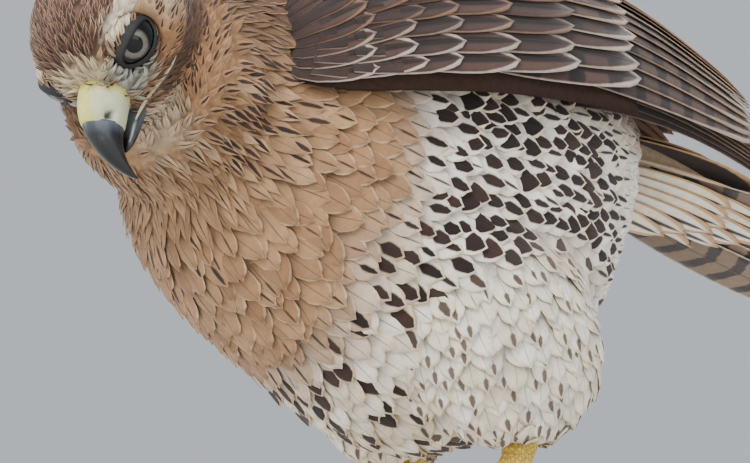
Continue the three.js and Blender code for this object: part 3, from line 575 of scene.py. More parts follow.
def feather_pattern_group():
    """Where a feather's mark, bars, pale edge, shaft and barbs lie, from its place across and along."""
    inputs = [("Across", 0.5), ("Along", 0.5), ("Start", 0.4), ("Width", 0.3), ("Fringe", 0.1),
              ("Bars", 0.0), ("Waver", 0.5), ("Barb Count", 40.0)]
    group, t, given, out = node_group("Feather pattern", inputs, ["Mark", "Edge", "Shaft", "Barb"])
    side = t.math("ABSOLUTE", t.math("MULTIPLY", t.math("SUBTRACT", given["Across"], 0.5), 2.0))
    waver = t.math("MULTIPLY", t.math("SUBTRACT", given["Waver"], 0.5), WAVER_SHARE)
    along = given["Along"]
    # a teardrop that widens along the shaft from Start and closes before the tip
    full = t.math("ADD", t.math("MULTIPLY", given["Start"], 0.5), 0.42)
    rise = t.ramp(along, given["Start"], full)
    fall = t.math("SUBTRACT", 1.0, t.ramp(along, *MARK_CLOSES))
    reach = t.math("MULTIPLY", t.math("MULTIPLY", rise, fall), given["Width"])
    inside = t.math("SUBTRACT", t.math("ADD", reach, t.math("MULTIPLY", waver, reach)), side)
    drop = t.ramp(inside, *MARK_EDGE)
    # bars across the vane, bent towards the tip at its edges
    phase = t.math("ADD", along, t.math("MULTIPLY", side, 0.03))
    phase = t.math("ADD", phase, t.math("MULTIPLY", waver, 0.12))
    wave = t.math("SINE", t.math("MULTIPLY", t.math("MULTIPLY", phase, given["Bars"]), 2 * math.pi))
    bars = t.math("MULTIPLY", t.ramp(wave, 0.15, 0.5), t.ramp(given["Bars"], 0.1, 0.5))
    t.feed(out, "Mark", t.math("MAXIMUM", drop, bars))
    # a pale rim round the free part of the vane
    tip = t.math("MAXIMUM", t.math("DIVIDE", t.math("SUBTRACT", along, 0.55), 0.45), 0.0)
    far = t.math("SQRT", t.math("ADD", t.math("MULTIPLY", side, side), t.math("MULTIPLY", tip, tip)))
    far = t.math("ADD", far, t.math("MULTIPLY", waver, 0.25))
    start = t.math("SUBTRACT", 1.0, given["Fringe"])
    edge = t.ramp(far, t.math("SUBTRACT", start, FRINGE_SOFTNESS), t.math("ADD", start, FRINGE_SOFTNESS))
    t.feed(out, "Edge", t.math("MULTIPLY", edge, t.ramp(given["Fringe"], 0.01, 0.04)))
    t.feed(out, "Shaft", t.math("SUBTRACT", 1.0, t.ramp(side, 0.02, 0.07)))
    slant = t.math("SUBTRACT", along, t.math("MULTIPLY", side, 0.3))
    barb = t.math("SINE", t.math("MULTIPLY", t.math("MULTIPLY", slant, given["Barb Count"]), 2 * math.pi))
    t.feed(out, "Barb", t.math("ADD", t.math("MULTIPLY", barb, 0.5), 0.5))
    return group


def mottle_group():
    """Broad and fine unevenness, round 1, to multiply a colour with."""
    group, t, given, out = node_group("Mottle", [("Scale", 100.0), ("Amount", 0.3)], ["Shade", "Height"])
    place = t.place()
    broad = t.noise(given["Scale"], 4.0, place)
    fine = t.noise(t.math("MULTIPLY", given["Scale"], 6.0), 2.0, place)
    both = t.math("ADD", t.math("MULTIPLY", broad, 0.65), t.math("MULTIPLY", fine, 0.35))
    swing = t.math("MULTIPLY", t.math("SUBTRACT", both, 0.5), t.math("MULTIPLY", given["Amount"], 4.0))
    t.feed(out, "Shade", t.math("ADD", 1.0, swing))
    t.feed(out, "Height", both)
    return group


def scales_group():
    """Small bead-like scales of bare skin."""
    group, t, given, out = node_group("Skin scales", [("Scale", 900.0)], ["Bead", "Crease"])
    cells = t.node("ShaderNodeTexVoronoi", {"feature": "DISTANCE_TO_EDGE"}, Scale=given["Scale"])
    t.feed(cells, "Vector", t.place())
    edge = t.ramp(cells.outputs["Distance"], 0.0, 0.22)
    t.feed(out, "Bead", edge)
    t.feed(out, "Crease", t.math("SUBTRACT", 1.0, edge))
    return group


GROUPS = {}
GROUP_MAKERS = {"pattern": feather_pattern_group, "mottle": mottle_group, "scales": scales_group}


def group_node(t, name, **inputs):
    """A node of a shared group, which is made when it is first asked for."""
    if name not in GROUPS:
        GROUPS[name] = GROUP_MAKERS[name]()
    made = t.node("ShaderNodeGroup", {"node_tree": GROUPS[name]})
    for key, value in inputs.items():
        t.feed(made, key.replace("_", " "), value)
    return made.outputs


def new_finish(name):
    """A material with its Tree and its Principled shader."""
    finish = bpy.data.materials.new(name)
    finish.use_nodes = True
    shader = finish.node_tree.nodes["Principled BSDF"]
    return finish, Tree(finish.node_tree), shader


def shaded(t, colour, shade):
    """A colour made lighter or darker by a value round 1."""
    grey = t.node("ShaderNodeCombineColor", Red=shade, Green=shade, Blue=shade).outputs[0]
    return t.blend(1.0, colour, grey, "MULTIPLY")


BARS_SCALE = 20.0  # the marks layer holds the bars of a vane as a share of this


def feather_finish(name, barbs, roughness, bump, veins):
    """A vane with its mark, pale edge, shaft and barbs, with painted shade darkening it towards its hidden
    root.
    """
    finish, t, shader = new_finish(name)
    uv = t.node("ShaderNodeSeparateXYZ")
    t.feed(uv, "0", t.node("ShaderNodeUVMap", {"uv_map": "Vane"}).outputs[0])
    marks = t.node("ShaderNodeSeparateColor")
    t.feed(marks, "0", t.layer("marks"))
    mottle = group_node(t, "mottle", Scale=260.0, Amount=0.22)
    bars = t.math("MULTIPLY", t.layer("marks", "Alpha"), BARS_SCALE)
    pattern = group_node(t, "pattern", Across=uv.outputs[0], Along=uv.outputs[1], Start=marks.outputs[0],
                         Width=marks.outputs[1], Fringe=marks.outputs[2], Waver=mottle["Height"], Bars=bars,
                         Barb_Count=barbs)
    colour = t.blend(pattern["Mark"], t.layer("ground"), t.layer("mark"))
    colour = t.blend(pattern["Edge"], colour, t.layer("fringe"))
    colour = t.blend(t.math("MULTIPLY", pattern["Shaft"], veins * 2), colour, t.layer("mark"))
    lines = t.math("ADD", 1.0 - veins * 0.5, t.math("MULTIPLY", pattern["Barb"], veins))
    shade = t.math("MULTIPLY", mottle["Shade"], lines)
    # painted shade: darker towards the root, which the feathers over it hide
    depth = t.math("ADD", 0.6, t.math("MULTIPLY", t.ramp(uv.outputs[1], 0.1, 0.75), 0.42))
    t.feed(shader, "Base Color", shaded(t, colour, t.math("MULTIPLY", shade, depth)))
    shader.inputs["Roughness"].default_value = roughness
    shader.inputs["Specular IOR Level"].default_value = 0.25
    shader.inputs["Sheen Weight"].default_value = 0.12
    shader.inputs["Sheen Roughness"].default_value = 0.5
    shaft_height = t.math("MULTIPLY", pattern["Shaft"], 1.2)
    height = t.math("ADD", t.math("MULTIPLY", pattern["Barb"], 0.6), shaft_height)
    raised = t.node("ShaderNodeBump", Strength=bump, Distance=0.0003, Height=height)
    t.feed(shader, "Normal", raised.outputs[0])
    return finish


def down_finish():
    """The skin under the feathers, in the colours of what lies over it."""
    finish, t, shader = new_finish("Down over the skin")
    mottle = group_node(t, "mottle", Scale=420.0, Amount=0.3)
    t.feed(shader, "Base Color", shaded(t, t.layer("ground"), mottle["Shade"]))
    shader.inputs["Roughness"].default_value = 0.95
    shader.inputs["Specular IOR Level"].default_value = 0.15
    raised = t.node("ShaderNodeBump", Strength=0.6, Distance=0.0008, Height=mottle["Height"])
    t.feed(shader, "Normal", raised.outputs[0])
    return finish


def skin_finish(name, scale, bead, crease_shade_tone, roughness, depth):
    """Bare skin or scutes: the tint layer, with painted shade in the creases between fine beads."""
    finish, t, shader = new_finish(name)
    mottle = group_node(t, "mottle", Scale=scale * 0.25, Amount=0.12)
    scales = group_node(t, "scales", Scale=scale)
    colour = shaded(t, t.layer("tint"), mottle["Shade"])
    # painted shade: the creases between the beads take a darker tone
    colour = t.blend(t.math("MULTIPLY", scales["Crease"], bead), colour, rgba(crease_shade_tone))
    t.feed(shader, "Base Color", colour)
    rough = t.math("ADD", roughness, t.math("MULTIPLY", scales["Crease"], 0.2))
    t.feed(shader, "Roughness", rough)
    shader.inputs["Subsurface Weight"].default_value = 0.08
    shader.inputs["Subsurface Radius"].default_value = (0.002, 0.001, 0.0006)
    height = t.math("ADD", scales["Bead"], t.math("MULTIPLY", mottle["Height"], 0.5))
    raised = t.node("ShaderNodeBump", Strength=depth, Distance=0.0003, Height=height)
    t.feed(shader, "Normal", raised.outputs[0])
    return finish


def horn_finish(name, roughness):
    """Horn: the tint layer with growth lines and fine wear."""
    finish, t, shader = new_finish(name)
    mottle = group_node(t, "mottle", Scale=240.0, Amount=0.28)
    lines = t.node("ShaderNodeTexWave", {"wave_type": "BANDS"}, Scale=160.0, Distortion=6.0, Detail=3.0)
    t.feed(lines, "Vector", t.place())
    worn = t.ramp(mottle["Height"], 0.56, 0.7)
    colour = shaded(t, t.layer("tint"), mottle["Shade"])
    colour = t.blend(t.math("MULTIPLY", worn, 0.08), colour, rgba("8b8d90"))
    t.feed(shader, "Base Color", colour)
    t.feed(shader, "Roughness", t.math("ADD", roughness, t.math("MULTIPLY", worn, 0.25)))
    shader.inputs["Coat Weight"].default_value = 0.15
    shader.inputs["Coat Roughness"].default_value = 0.2
    height = t.math("ADD", t.math("MULTIPLY", lines.outputs["Fac"], 0.25), mottle["Height"])
    raised = t.node("ShaderNodeBump", Strength=0.3, Distance=0.0002, Height=height)
    t.feed(shader, "Normal", raised.outputs[0])
    return finish


def eye_finish():
    """Pupil, pale iris with fibres, and dark rim, by the distance from the middle of the eye."""
    finish, t, shader = new_finish("Eye")
    uv = t.node("ShaderNodeSeparateXYZ")
    t.feed(uv, "0", t.node("ShaderNodeUVMap", {"uv_map": "Eye"}).outputs[0])
    far = uv.outputs[1]
    spokes = t.node("ShaderNodeTexNoise", Scale=46.0, Detail=3.0)
    spread = t.node("ShaderNodeCombineXYZ", X=uv.outputs[0], Y=t.math("MULTIPLY", far, 0.12))
    t.feed(spokes, "Vector", spread.outputs[0])
    iris = t.blend(t.ramp(spokes.outputs["Fac"], 0.3, 0.7), rgba("4b4841"), rgba("78756c"))
    iris = t.blend(t.ramp(far, 0.44, 0.54), iris, rgba("3a352e"))
    colour = t.blend(t.math("SUBTRACT", 1.0, t.ramp(far, 0.29, 0.32)), iris, rgba("010101"))
    colour = t.blend(t.ramp(far, 0.52, 0.58), colour, rgba("060505"))
    t.feed(shader, "Base Color", colour)
    shader.inputs["Roughness"].default_value = 0.2
    shader.inputs["Specular IOR Level"].default_value = 0.1
    shader.inputs["Coat Weight"].default_value = 0.4
    shader.inputs["Coat Roughness"].default_value = 0.03
    return finish


FINISHES = {}


def finish(name):
    """Each finish is made once, when it is first asked for."""
    makers = {
        "body": lambda: feather_finish("Body feathers", 44.0, 0.85, 0.4, 0.17),
        "head": lambda: feather_finish("Head feathers", 12.0, 0.82, 0.3, 0.1),
        "wing": lambda: feather_finish("Wing feathers", 60.0, 0.62, 0.6, 0.18),
        "down": down_finish,
        "cere": lambda: skin_finish("Cere", 1500.0, 0.12, "8c8f4a", 0.42, 0.25),
        "lid": lambda: skin_finish("Lids", 1900.0, 0.35, "0c0d10", 0.5, 0.5),
        "leg": lambda: skin_finish("Legs and toes", 620.0, 0.5, "6f5a1c", 0.5, 0.9),
        "bill": lambda: horn_finish("Bill", 0.28),
        "claw": lambda: horn_finish("Claws", 0.22),
        "eye": eye_finish,
    }
    if name not in FINISHES:
        FINISHES[name] = makers[name]()
    return FINISHES[name]


# The plumage: where each kind of feather grows and what it looks like

def part_weights(p):
    """How much of each place belongs to the head, the neck and the trunk."""
    head = 1 - smooth(np.linalg.norm(from_head(p) - HEAD_MIDDLE, axis=1), *HEAD_REACH)
    neck = (1 - head) * smooth(p[:, 1], *NECK_Y) * smooth(p[:, 2], *NECK_Z)
    return head, neck, 1 - head - neck


def patches(places, side, ramps):
    """The share of each named patch at each place; both sides are alike."""
    places = places.T.copy()
    places[side] = np.abs(places[side])
    return {name: np.prod([smooth(places[axis], a, b) for axis, a, b in rows], axis=0)
            for name, rows in ramps.items()}


def lie_of(p, thigh):
    """The way the feathers point, before it is laid on the surface."""
    head, neck, trunk = part_weights(p)
    down = np.clip(-0.35 + 0.5 * smooth(unrolled(p)[:, 1], -30, 90), -0.35, 0.15)
    body = np.stack([0 * down, 1 + 0 * down, down], 1)
    way = head[:, None] * -HEAD_AXES[0] + neck[:, None] * NECK_LIE + trunk[:, None] * body
    return unit(mix(way, LEG_LIE, thigh))


def spacing_of(p, thigh):
    head, neck, trunk = part_weights(p)
    on_head = mix(FACE_GAP, CROWN_GAP, smooth(-from_head(p)[:, 0], -8, 34))
    return head * on_head + neck * NECK_GAP + trunk * mix(TRUNK_GAP, LEG_GAP, thigh)


def body_look(q, dice):
    """Buff breast, white belly and flanks with dark marks, brown back."""
    share = patches(q, X, BODY_PATCHES)
    high = share["back"]
    flank, vent = share["flank"] * (1 - high), share["vent"] * (1 - high)
    belly = np.maximum(share["low_belly"], share["belly"]) * (1 - high)
    breast = (1 - belly) * (1 - high)

    ground = mix(*BREAST, dice[0])
    ground = mix(ground, mix(CREAM, WHITE, dice[1]), belly * 0.85)
    ground = mix(ground, WHITE, np.maximum(flank * 0.8, vent * 0.7))
    ground = mix(ground, mix(BROWN, CHOCOLATE, dice[2]), high)
    fringe = mix(mix(CREAM, BUFF, dice[3] * (1 - flank)), ground, breast * 0.7)
    fringe = mix(fringe, RUST, high * 0.6)
    widths = (
        0.12 * (dice[1] > 0.86) * breast,
        0.4 * share["throat"] * (dice[0] > 0.45),
        belly * (1 - vent) * (0.72 + 0.7 * (dice[2] - 0.5)) * (dice[3] > 0.46),
        flank * (1 - vent) * (0.4 + 0.66 * (dice[0] - 0.5)),
    )
    return {"ground": ground, "mark": mix(CHOCOLATE, BLACK_BROWN, dice[0]), "fringe": fringe,
            "width": np.maximum.reduce(widths), "start": 0.3 + 0.22 * dice[1],
            "edge": 0.05 + 0.1 * high + 0.06 * flank}


def change(look, share, **values):
    """Takes a look towards other values where they have a share."""
    for key, value in values.items():
        look[key] = mix(look[key], value, share)


def leg_look(look, p, thigh, dice):
    """Pale, with small dots near the tips."""
    change(look, thigh, ground=mix(WHITE, CREAM, dice[0]), mark=LEG_DOT, width=0.26 * (dice[2] > 0.5),
           start=0.6)
    change(look, smooth(p[:, 2], *LEG_TOP_Z) * thigh * 0.6, ground=LEG_TOP)


def neck_look(look, p, neck, dice):
    """Buff throat, streaked sides and brown nape."""
    nape = smooth(p[:, 2], *NAPE_Z)
    streaked = smooth(p[:, 2], *NECK_SIDE_Z) * (1 - nape)
    ground = mix(mix(*THROAT, dice[0]), mix(*NECK_SIDE, dice[1]), streaked)
    ground = mix(ground, mix(BROWN, NAPE_END, dice[1]), nape)
    change(look, neck, ground=ground, mark=mix(*NECK_MARK, dice[2]), fringe=mix(*NECK_FRINGE, dice[0]),
           width=(0.12 + 0.42 * streaked) * (dice[3] > 0.3), start=0.14)


def head_look(look, h, head, dice):
    """Rufous face, dark streaked crown, dark malar stripe and pale lines."""
    share = patches(h, S, HEAD_PATCHES)
    chin = np.clip(0.7 * share["chin"] + share["throat"], 0, 1)
    away = (h[:, [F, U]] - CRESCENT_AT) / CRESCENT_REACH
    crescent = np.exp(-away[:, 0] ** 2 - away[:, 1] ** 2) * share["behind_eye"]
    brow, lore, forehead = share["brow"], share["lore"], share["forehead"]
    ground = mix(mix(*FACE, dice[0]), mix(*CROWN, dice[1]), share["crown"])
    for colour, part in ((MALAR, share["malar"] * 0.85), (CHIN, chin), (BROW, brow * 0.9),
                         (CRESCENT, crescent * 0.85), (LORE, lore), (FOREHEAD, forehead)):
        ground = mix(ground, colour, part)
    plain = np.clip(np.maximum.reduce([brow, crescent, lore, forehead, chin]), 0, 1)
    change(look, head, ground=ground, mark=mix(*HEAD_MARK, dice[1]), fringe=mix(*HEAD_FRINGE, dice[2]),
           width=(0.42 * (dice[3] > 0.35) + 0.1) * (1 - 0.85 * plain), start=0.2,
           edge=0.12 * share["crown"])


def looks_of(p, thigh, rng):
    """Colours, and the marks' start and width and the fringe's width, of the feathers rooted at p."""
    head, neck, _ = part_weights(p)
    dice = rng.random((len(p), 4)).T
    look = body_look(unrolled(p), dice)
    leg_look(look, p, thigh, dice)
    neck_look(look, p, neck, dice)
    head_look(look, from_head(p), head, dice)
    shade = (0.88 + 0.22 * dice[1])[:, None]
    marks = np.stack([look["start"], look["width"], look["edge"], 0 * look["edge"]], 1)
    return {"ground": look["ground"] * shade, "mark": look["mark"], "fringe": look["fringe"] * shade,
            "marks": marks}


class HAWK_PG_stage(bpy.types.PropertyGroup):
    """What the bird is shown on and how it is lit."""
    floor_size: FloatProperty(
        name="Floor size", description="Width of the pale floor", default=9.0, unit="LENGTH")
    floor_colour: FloatVectorProperty(
        name="Floor colour", description="Colour of the floor", size=4, default=(0.78, 0.77, 0.74, 1.0),
        subtype="COLOR")
    key_power: FloatProperty(
        name="Key light", description="Power of the main light", default=52.0, unit="POWER")
    lens: FloatProperty(
        name="Lens", description="Focal length of the camera", default=69.6, unit="CAMERA")


class HAWK_PG_plumage(bpy.types.PropertyGroup):
    """The coat of feathers."""
    seed: IntProperty(
        name="Seed", description="Start of the random spread of feathers", default=7)
    coat_depth: FloatProperty(
        name="Coat depth", description="Height of the feathers over the skin on the body", default=0.0032,
        unit="LENGTH")
    unevenness: FloatProperty(
        name="Unevenness", description="How much the feathers differ in size and lie", default=0.12,
        subtype="FACTOR")


class HAWK_PG_bare(bpy.types.PropertyGroup):
    """Cere, bill, legs and claws."""
    cere_colour: FloatVectorProperty(
        name="Cere colour", description="Colour of the cere", size=4, default=rgba("cbc66c"),
        subtype="COLOR")
    bill_base: FloatVectorProperty(
        name="Bill base", description="Colour of the horn by the cere", size=4, default=rgba("4d565f"),
        subtype="COLOR")
    bill_tip: FloatVectorProperty(
        name="Bill tip", description="Colour of the horn at the tip", size=4, default=rgba("0b0c0f"),
        subtype="COLOR")
    leg_colour: FloatVectorProperty(
        name="Leg colour", description="Colour of the tarsi and toes", size=4, default=rgba("d8b548"),
        subtype="COLOR")


class HAWK_OT_stage(bpy.types.Operator):
    """Lay the floor, hang the soft lights and set the camera"""
    bl_idname = "hawk.lay_stage"
    bl_label = "Stage"

    def execute(self, context):
        stage = context.scene.hawk_stage
        self.floor(stage)
        self.lights(context.scene, stage)
        lens = bpy.data.cameras.new("camera")
        lens.lens = stage.lens
        lens.clip_start = 0.01
        camera = bpy.data.objects.new("camera", lens)
        context.scene.collection.objects.link(camera)
        camera.location = CAMERA_AT
        aim = Vector(CAMERA_AIM) - camera.location
        camera.rotation_euler = aim.to_track_quat("-Z", "Y").to_euler()
        context.scene.camera = camera
        return {"FINISHED"}

    def floor(self, stage):
        half = stage.floor_size / 2 / MM
        floor_finish, t, shader = new_finish("Pale floor")
        mottle = group_node(t, "mottle", Scale=3.0, Amount=0.03)
        t.feed(shader, "Base Color", shaded(t, tuple(stage.floor_colour), mottle["Shade"]))
        shader.inputs["Roughness"].default_value = 0.7
        corners = [(-half, -half, 0), (half, -half, 0), (half, half, 0), (-half, half, 0)]
        floor = mesh_object("floor", corners, [(0, 1, 2, 3)], floor_finish)

    def lights(self, scene, stage):
        world = scene.world or bpy.data.worlds.new("Studio")
        scene.world = world
        world.use_nodes = True
        back = world.node_tree.nodes["Background"]
        back.inputs["Color"].default_value = SKY_COLOUR
        back.inputs["Strength"].default_value = SKY_STRENGTH
        for name, place, share, size in LIGHTS:
            lamp = bpy.data.lights.new(name, "AREA")
            lamp.energy = stage.key_power * share
            lamp.size = size
            held = bpy.data.objects.new(name, lamp)
            scene.collection.objects.link(held)
            held.location = place
            aim = Vector(LIGHTS_AIM) - Vector(place)
            held.rotation_euler = aim.to_track_quat("-Z", "Y").to_euler()


SKIN = {}  # the skin's points, normals, faces and search tree, in millimetres, for the coat


class HAWK_OT_skin(bpy.types.Operator):
    """Join the flesh into one smooth skin that lies inside the coat"""
    bl_idname = "hawk.join_skin"
    bl_label = "Skin"

    def execute(self, context):
        done = self.melted(context)
        points = np.empty(len(done.vertices) * 3)
        normals = np.empty(len(done.vertices) * 3)
        done.vertices.foreach_get("co", points)
        done.vertices.foreach_get("normal", normals)
        points, normals = points.reshape(-1, 3) / MM, normals.reshape(-1, 3)
        plumage = context.scene.hawk_plumage
        thigh = thigh_share(points)
        head, neck, trunk = part_weights(points)
        depth = head * HEAD_UNDER + neck * NECK_UNDER + trunk * plumage.coat_depth / MM
        points = points - normals * (depth * SKIN_SHARE)[:, None]
        done.vertices.foreach_set("co", (points * MM).ravel())
        done.update()
        skin = bpy.data.objects.new("skin", done)
        context.scene.collection.objects.link(skin)
        done.materials.clear()
        done.materials.append(finish("down"))
        done.polygons.foreach_set("use_smooth", np.ones(len(done.polygons), bool))
        looks = looks_of(points, thigh, np.random.default_rng(plumage.seed))
        socket = np.exp(-(np.linalg.norm(beside_eye(points), axis=1) / SOCKET_REACH) ** 4)
        paint(skin, "ground", mix(looks["ground"] * SKIN_SHADE, SOCKET, socket))
        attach(skin, "root")
        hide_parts(*FLESH)
        SKIN["tree"] = BVHTree.FromPolygons([tuple(p) for p in points],
                                            [tuple(f.vertices) for f in done.polygons])
        corners = np.empty(len(done.polygons) * 4, int)
        done.loops.foreach_get("vertex_index", corners)
        SKIN["points"], SKIN["normals"], SKIN["faces"] = points, normals, corners.reshape(-1, 4)
        return {"FINISHED"}

    def melted(self, context):
        """The flesh as one smooth mesh."""
        joined = bmesh.new()
        for name in FLESH:
            joined.from_mesh(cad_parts[name].data)
        mesh = bpy.data.meshes.new("skin")
        joined.to_mesh(mesh)
        joined.free()
        rough = bpy.data.objects.new("rough_skin", mesh)
        context.scene.collection.objects.link(rough)
        melt = rough.modifiers.new("melt", "REMESH")
        melt.mode = "VOXEL"
        melt.voxel_size = SKIN_VOXEL
        even = rough.modifiers.new("even", "SMOOTH")
        even.factor = SKIN_SMOOTHING
        even.iterations = SKIN_ROUNDS
        context.view_layer.update()
        whole = rough.evaluated_get(context.evaluated_depsgraph_get())
        done = bpy.data.meshes.new_from_object(whole)
        bpy.data.objects.remove(rough)
        bpy.data.meshes.remove(mesh)
        return done


def beside_eye(p):
    """Places on either side of the head from the middle of the eye's opening, by forward, side and up."""
    h = from_head(p)
    return np.stack([h[:, 0], np.abs(h[:, 1]), h[:, 2]], 1) - OPENING_AT


def thigh_share(p):
    """How much of each place belongs to the feathered legs."""
    share = np.zeros(len(p))
    out, back, up = THIGH_AT
    for side, further in ((LEFT, 0.0), (RIGHT, RIGHT_THIGH_BACK)):
        away = (p - [MID_X + side * out, back + further, up]) / THIGH_REACH
        far = np.sqrt(away[:, 0] ** 2 + away[:, 1] ** 2 + away[:, 2] ** 2)
        share = np.maximum(share, 1 - smooth(far, 0.88, 1.06))
    return share


def under_wing(p):
    """True where the folded wings lie close over the skin."""
    q = unrolled(p)
    low = wing_lower(q[:, 1])[:, 1] - np.where(q[:, 0] < 0, droop_of(q[:, 1]), 0)
    behind = q[:, 1] > WRIST_Y + UNDER_WING_BACK
    return behind & (q[:, 2] > low + UNDER_WING_UP) & (np.abs(q[:, 0]) > SPINE_HALF)


def between_corners(rng, n):
    """n random places on each face of the skin, and the normals there."""
    shares = rng.random((n, len(SKIN["faces"]), 2, 1))
    places = []
    for values in (SKIN["points"], SKIN["normals"]):
        a, b, c, d = (values[SKIN["faces"][:, k]] for k in range(4))
        u, v = shares[..., 0, :], shares[..., 1, :]
        places.append(((a * (1 - u) + b * u) * (1 - v) + (d * (1 - u) + c * u) * v).reshape(-1, 3))
    return places[0], unit(places[1])


def bare_places(p, thigh):
    """True where no small feather grows: round the eye and bill, under the wings, on the bare leg."""
    f, s, u = from_head(p).T
    eye = (np.linalg.norm(beside_eye(p) * EYE_BARE_SHAPE, axis=1) < EYE_BARE_REACH) & (f > -12)
    bill = (f > BILL_BARE_FROM + FOREHEAD_REACH * smooth(u, 0, 3)) & (f < BILL_BARE_TO)
    bill &= np.hypot(s, u + 4) < BILL_BARE_REACH
    return eye | bill | under_wing(p) | ((thigh > 0.5) & (p[:, 2] < LEG_COAT_END_Z))


def crowded(points, cells, key, place, gap):
    """True where a root that was kept before lies closer than the gap."""
    reach = int(gap // ROOT_CELL) + 1
    x, y, z = (range(k - reach, k + reach + 1) for k in key)
    return any(((points[j] - place) ** 2).sum() < gap * gap
               for a in x for b in y for c in z for j in cells.get((a, b, c), ()))


def spread_roots(rng):
    """Points over the skin at the spacing that each place asks for, with their normals."""
    points, normals = between_corners(rng, PLACES_ON_A_FACE)
    thigh = thigh_share(points)
    order = rng.permutation(len(points))
    gap = spacing_of(points, thigh)
    bare = bare_places(points, thigh)
    kept, cells = [], {}
    for i in order:
        if bare[i]:
            continue
        key = tuple((points[i] // ROOT_CELL).astype(int))
        if not crowded(points, cells, key, points[i], gap[i]):
            kept.append(i)
            cells.setdefault(key, []).append(i)
    return points[kept], normals[kept], thigh[kept]


def lay_vanes(roots, ways, lengths, widths, lift, rows, columns, pointed, rng):
    """Feathers that follow the skin from their roots, one station after another along the lie."""
    tree = SKIN["tree"]
    along, across, outline = feather_grid(rows, columns, pointed)
    count = len(roots)
    points = np.empty((count, rows + 1, columns + 1, 3))
    steps = np.diff(along, prepend=0)
    for n in range(count):
        at, way = Vector(roots[n]), Vector(ways[n])
        for r, s in enumerate(along):
            at, normal, _, _ = tree.find_nearest(at + way * (lengths[n] * steps[r]))
            way = (way - normal * way.dot(normal)).normalized()
            over = normal.cross(way)
            height = -ROOT_SINK + (lift[n] + ROOT_SINK) * s ** 0.8 - CAMBER * widths[n] * across ** 2
            ragged = 1 + RAGGED * (rng.random(columns + 1) - 0.5) * (r > 2)
            out = across * widths[n] * 0.5 * outline[r] * ragged
            back = across ** 2 * SWEPT_EDGES * lengths[n] * s
            here, up, aside, ahead = (np.array(v) for v in (at, normal, over, way))
            points[n, r] = here + up * height[:, None] + aside * out[:, None] - ahead * back[:, None]
    return points, along, across


def bake_places(p):
    """Where each root lies on an unwrap of the skin: round the body by along it."""
    q = unrolled(p)
    turn = np.arctan2(q[:, 0], q[:, 2] - 160) / (2 * math.pi) + 0.5
    far = (q[:, 1] + 190) / 520
    return np.stack([0.01 + 0.97 * turn, 0.01 + 0.97 * np.clip(far, 0, 1)], 1)


class HAWK_OT_body_feathers(bpy.types.Operator):
    """Lay the small feathers of head, neck, body and legs over the skin"""
    bl_idname = "hawk.lay_feathers"
    bl_label = "Body feathers"

    def execute(self, context):
        plumage = context.scene.hawk_plumage
        rng = np.random.default_rng(plumage.seed + 1)
        points, normals, thigh = spread_roots(rng)
        head, neck, trunk = part_weights(points)
        ways = lie_of(points, thigh) + plumage.unevenness * rng.normal(size=points.shape)
        ways = unit(ways - normals * (ways * normals).sum(1, keepdims=True))
        gap = spacing_of(points, thigh)
        uneven = 1 + plumage.unevenness * rng.uniform(-1, 1, len(points))
        lengths = gap * mix(mix(TRUNK_LENGTH, NECK_LENGTH, neck), HEAD_LENGTH, head) * uneven
        widths = gap * mix(mix(TRUNK_WIDTH, NECK_WIDTH, neck), HEAD_WIDTH, head) * uneven
        forehead = smooth(from_head(points)[:, 0], 7, 14)
        depth = head * (HEAD_DEPTH + FOREHEAD_DEPTH * forehead) + neck * NECK_DEPTH
        depth = depth + trunk * plumage.coat_depth / MM
        lift = depth * (1 + 0.25 * rng.uniform(-1, 1, len(points)))
        on_head, on_neck, on_leg = head > 0.5, (head <= 0.5) & (neck > 0.5), thigh > 0.5
        groups = (
            ("head_feathers", on_head, True, 6, 2, "head", "body_feathers"),
            ("neck_feathers", on_neck, True, 6, 4, "body", "body_feathers"),
            ("leg_feathers", on_leg, False, 7, 4, "body", "leg_feathers"),
            ("body_feathers", ~(on_head | on_neck | on_leg), False, 7, 4, "body", "body_feathers"),
        )
        for name, chosen, pointed, rows, columns, look, slot_name in groups:
            i = np.where(chosen)[0]
            made, along, across = lay_vanes(points[i], ways[i], lengths[i], widths[i], lift[i], rows,
                                            columns, pointed, rng)
            looks = looks_of(points[i], thigh[i], rng)
            piece = feather_piece(name, made, along, across, bake_places(points[i]), looks, finish(look))
            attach(piece, "root")
        return {"FINISHED"}


def wing_vanes(side, root, tip, widths, lift, rows, columns):
    """Vanes that lie on the wing's surface from root to tip, each given as y and b."""
    along, across, outline = feather_grid(rows, columns)
    s = along[None, :]
    y = root[:, :1] + (tip[:, :1] - root[:, :1]) * s
    b = root[:, 1:] + (tip[:, 1:] - root[:, 1:]) * s
    centre = wing_skin(side, y, b)
    _, over, out = wing_frame(side, y, b)
    ahead = unit(np.gradient(centre, axis=1))
    sideways = unit(np.cross(out, ahead))
    sideways *= np.sign((sideways * over).sum(-1, keepdims=True))
    half = (widths[:, None] / 2 * outline[None])[..., None]
    c = across[None, None, :]
    height = (lift[:, :1] + (lift[:, 1:] - lift[:, :1]) * s)[..., None]
    height = height - c * half * FLIGHT_SHINGLE - FLIGHT_CAMBER * half * c ** 2
    length = np.linalg.norm(centre[:, -1] - centre[:, 0], axis=-1)[:, None, None]
    back = FLIGHT_SWEEP * length * c ** 2 * s[..., None]
    points = centre[:, :, None] + out[:, :, None] * height[..., None]
    points = points + sideways[:, :, None] * (c * half)[..., None] - ahead[:, :, None] * back[..., None]
    return points, along, across


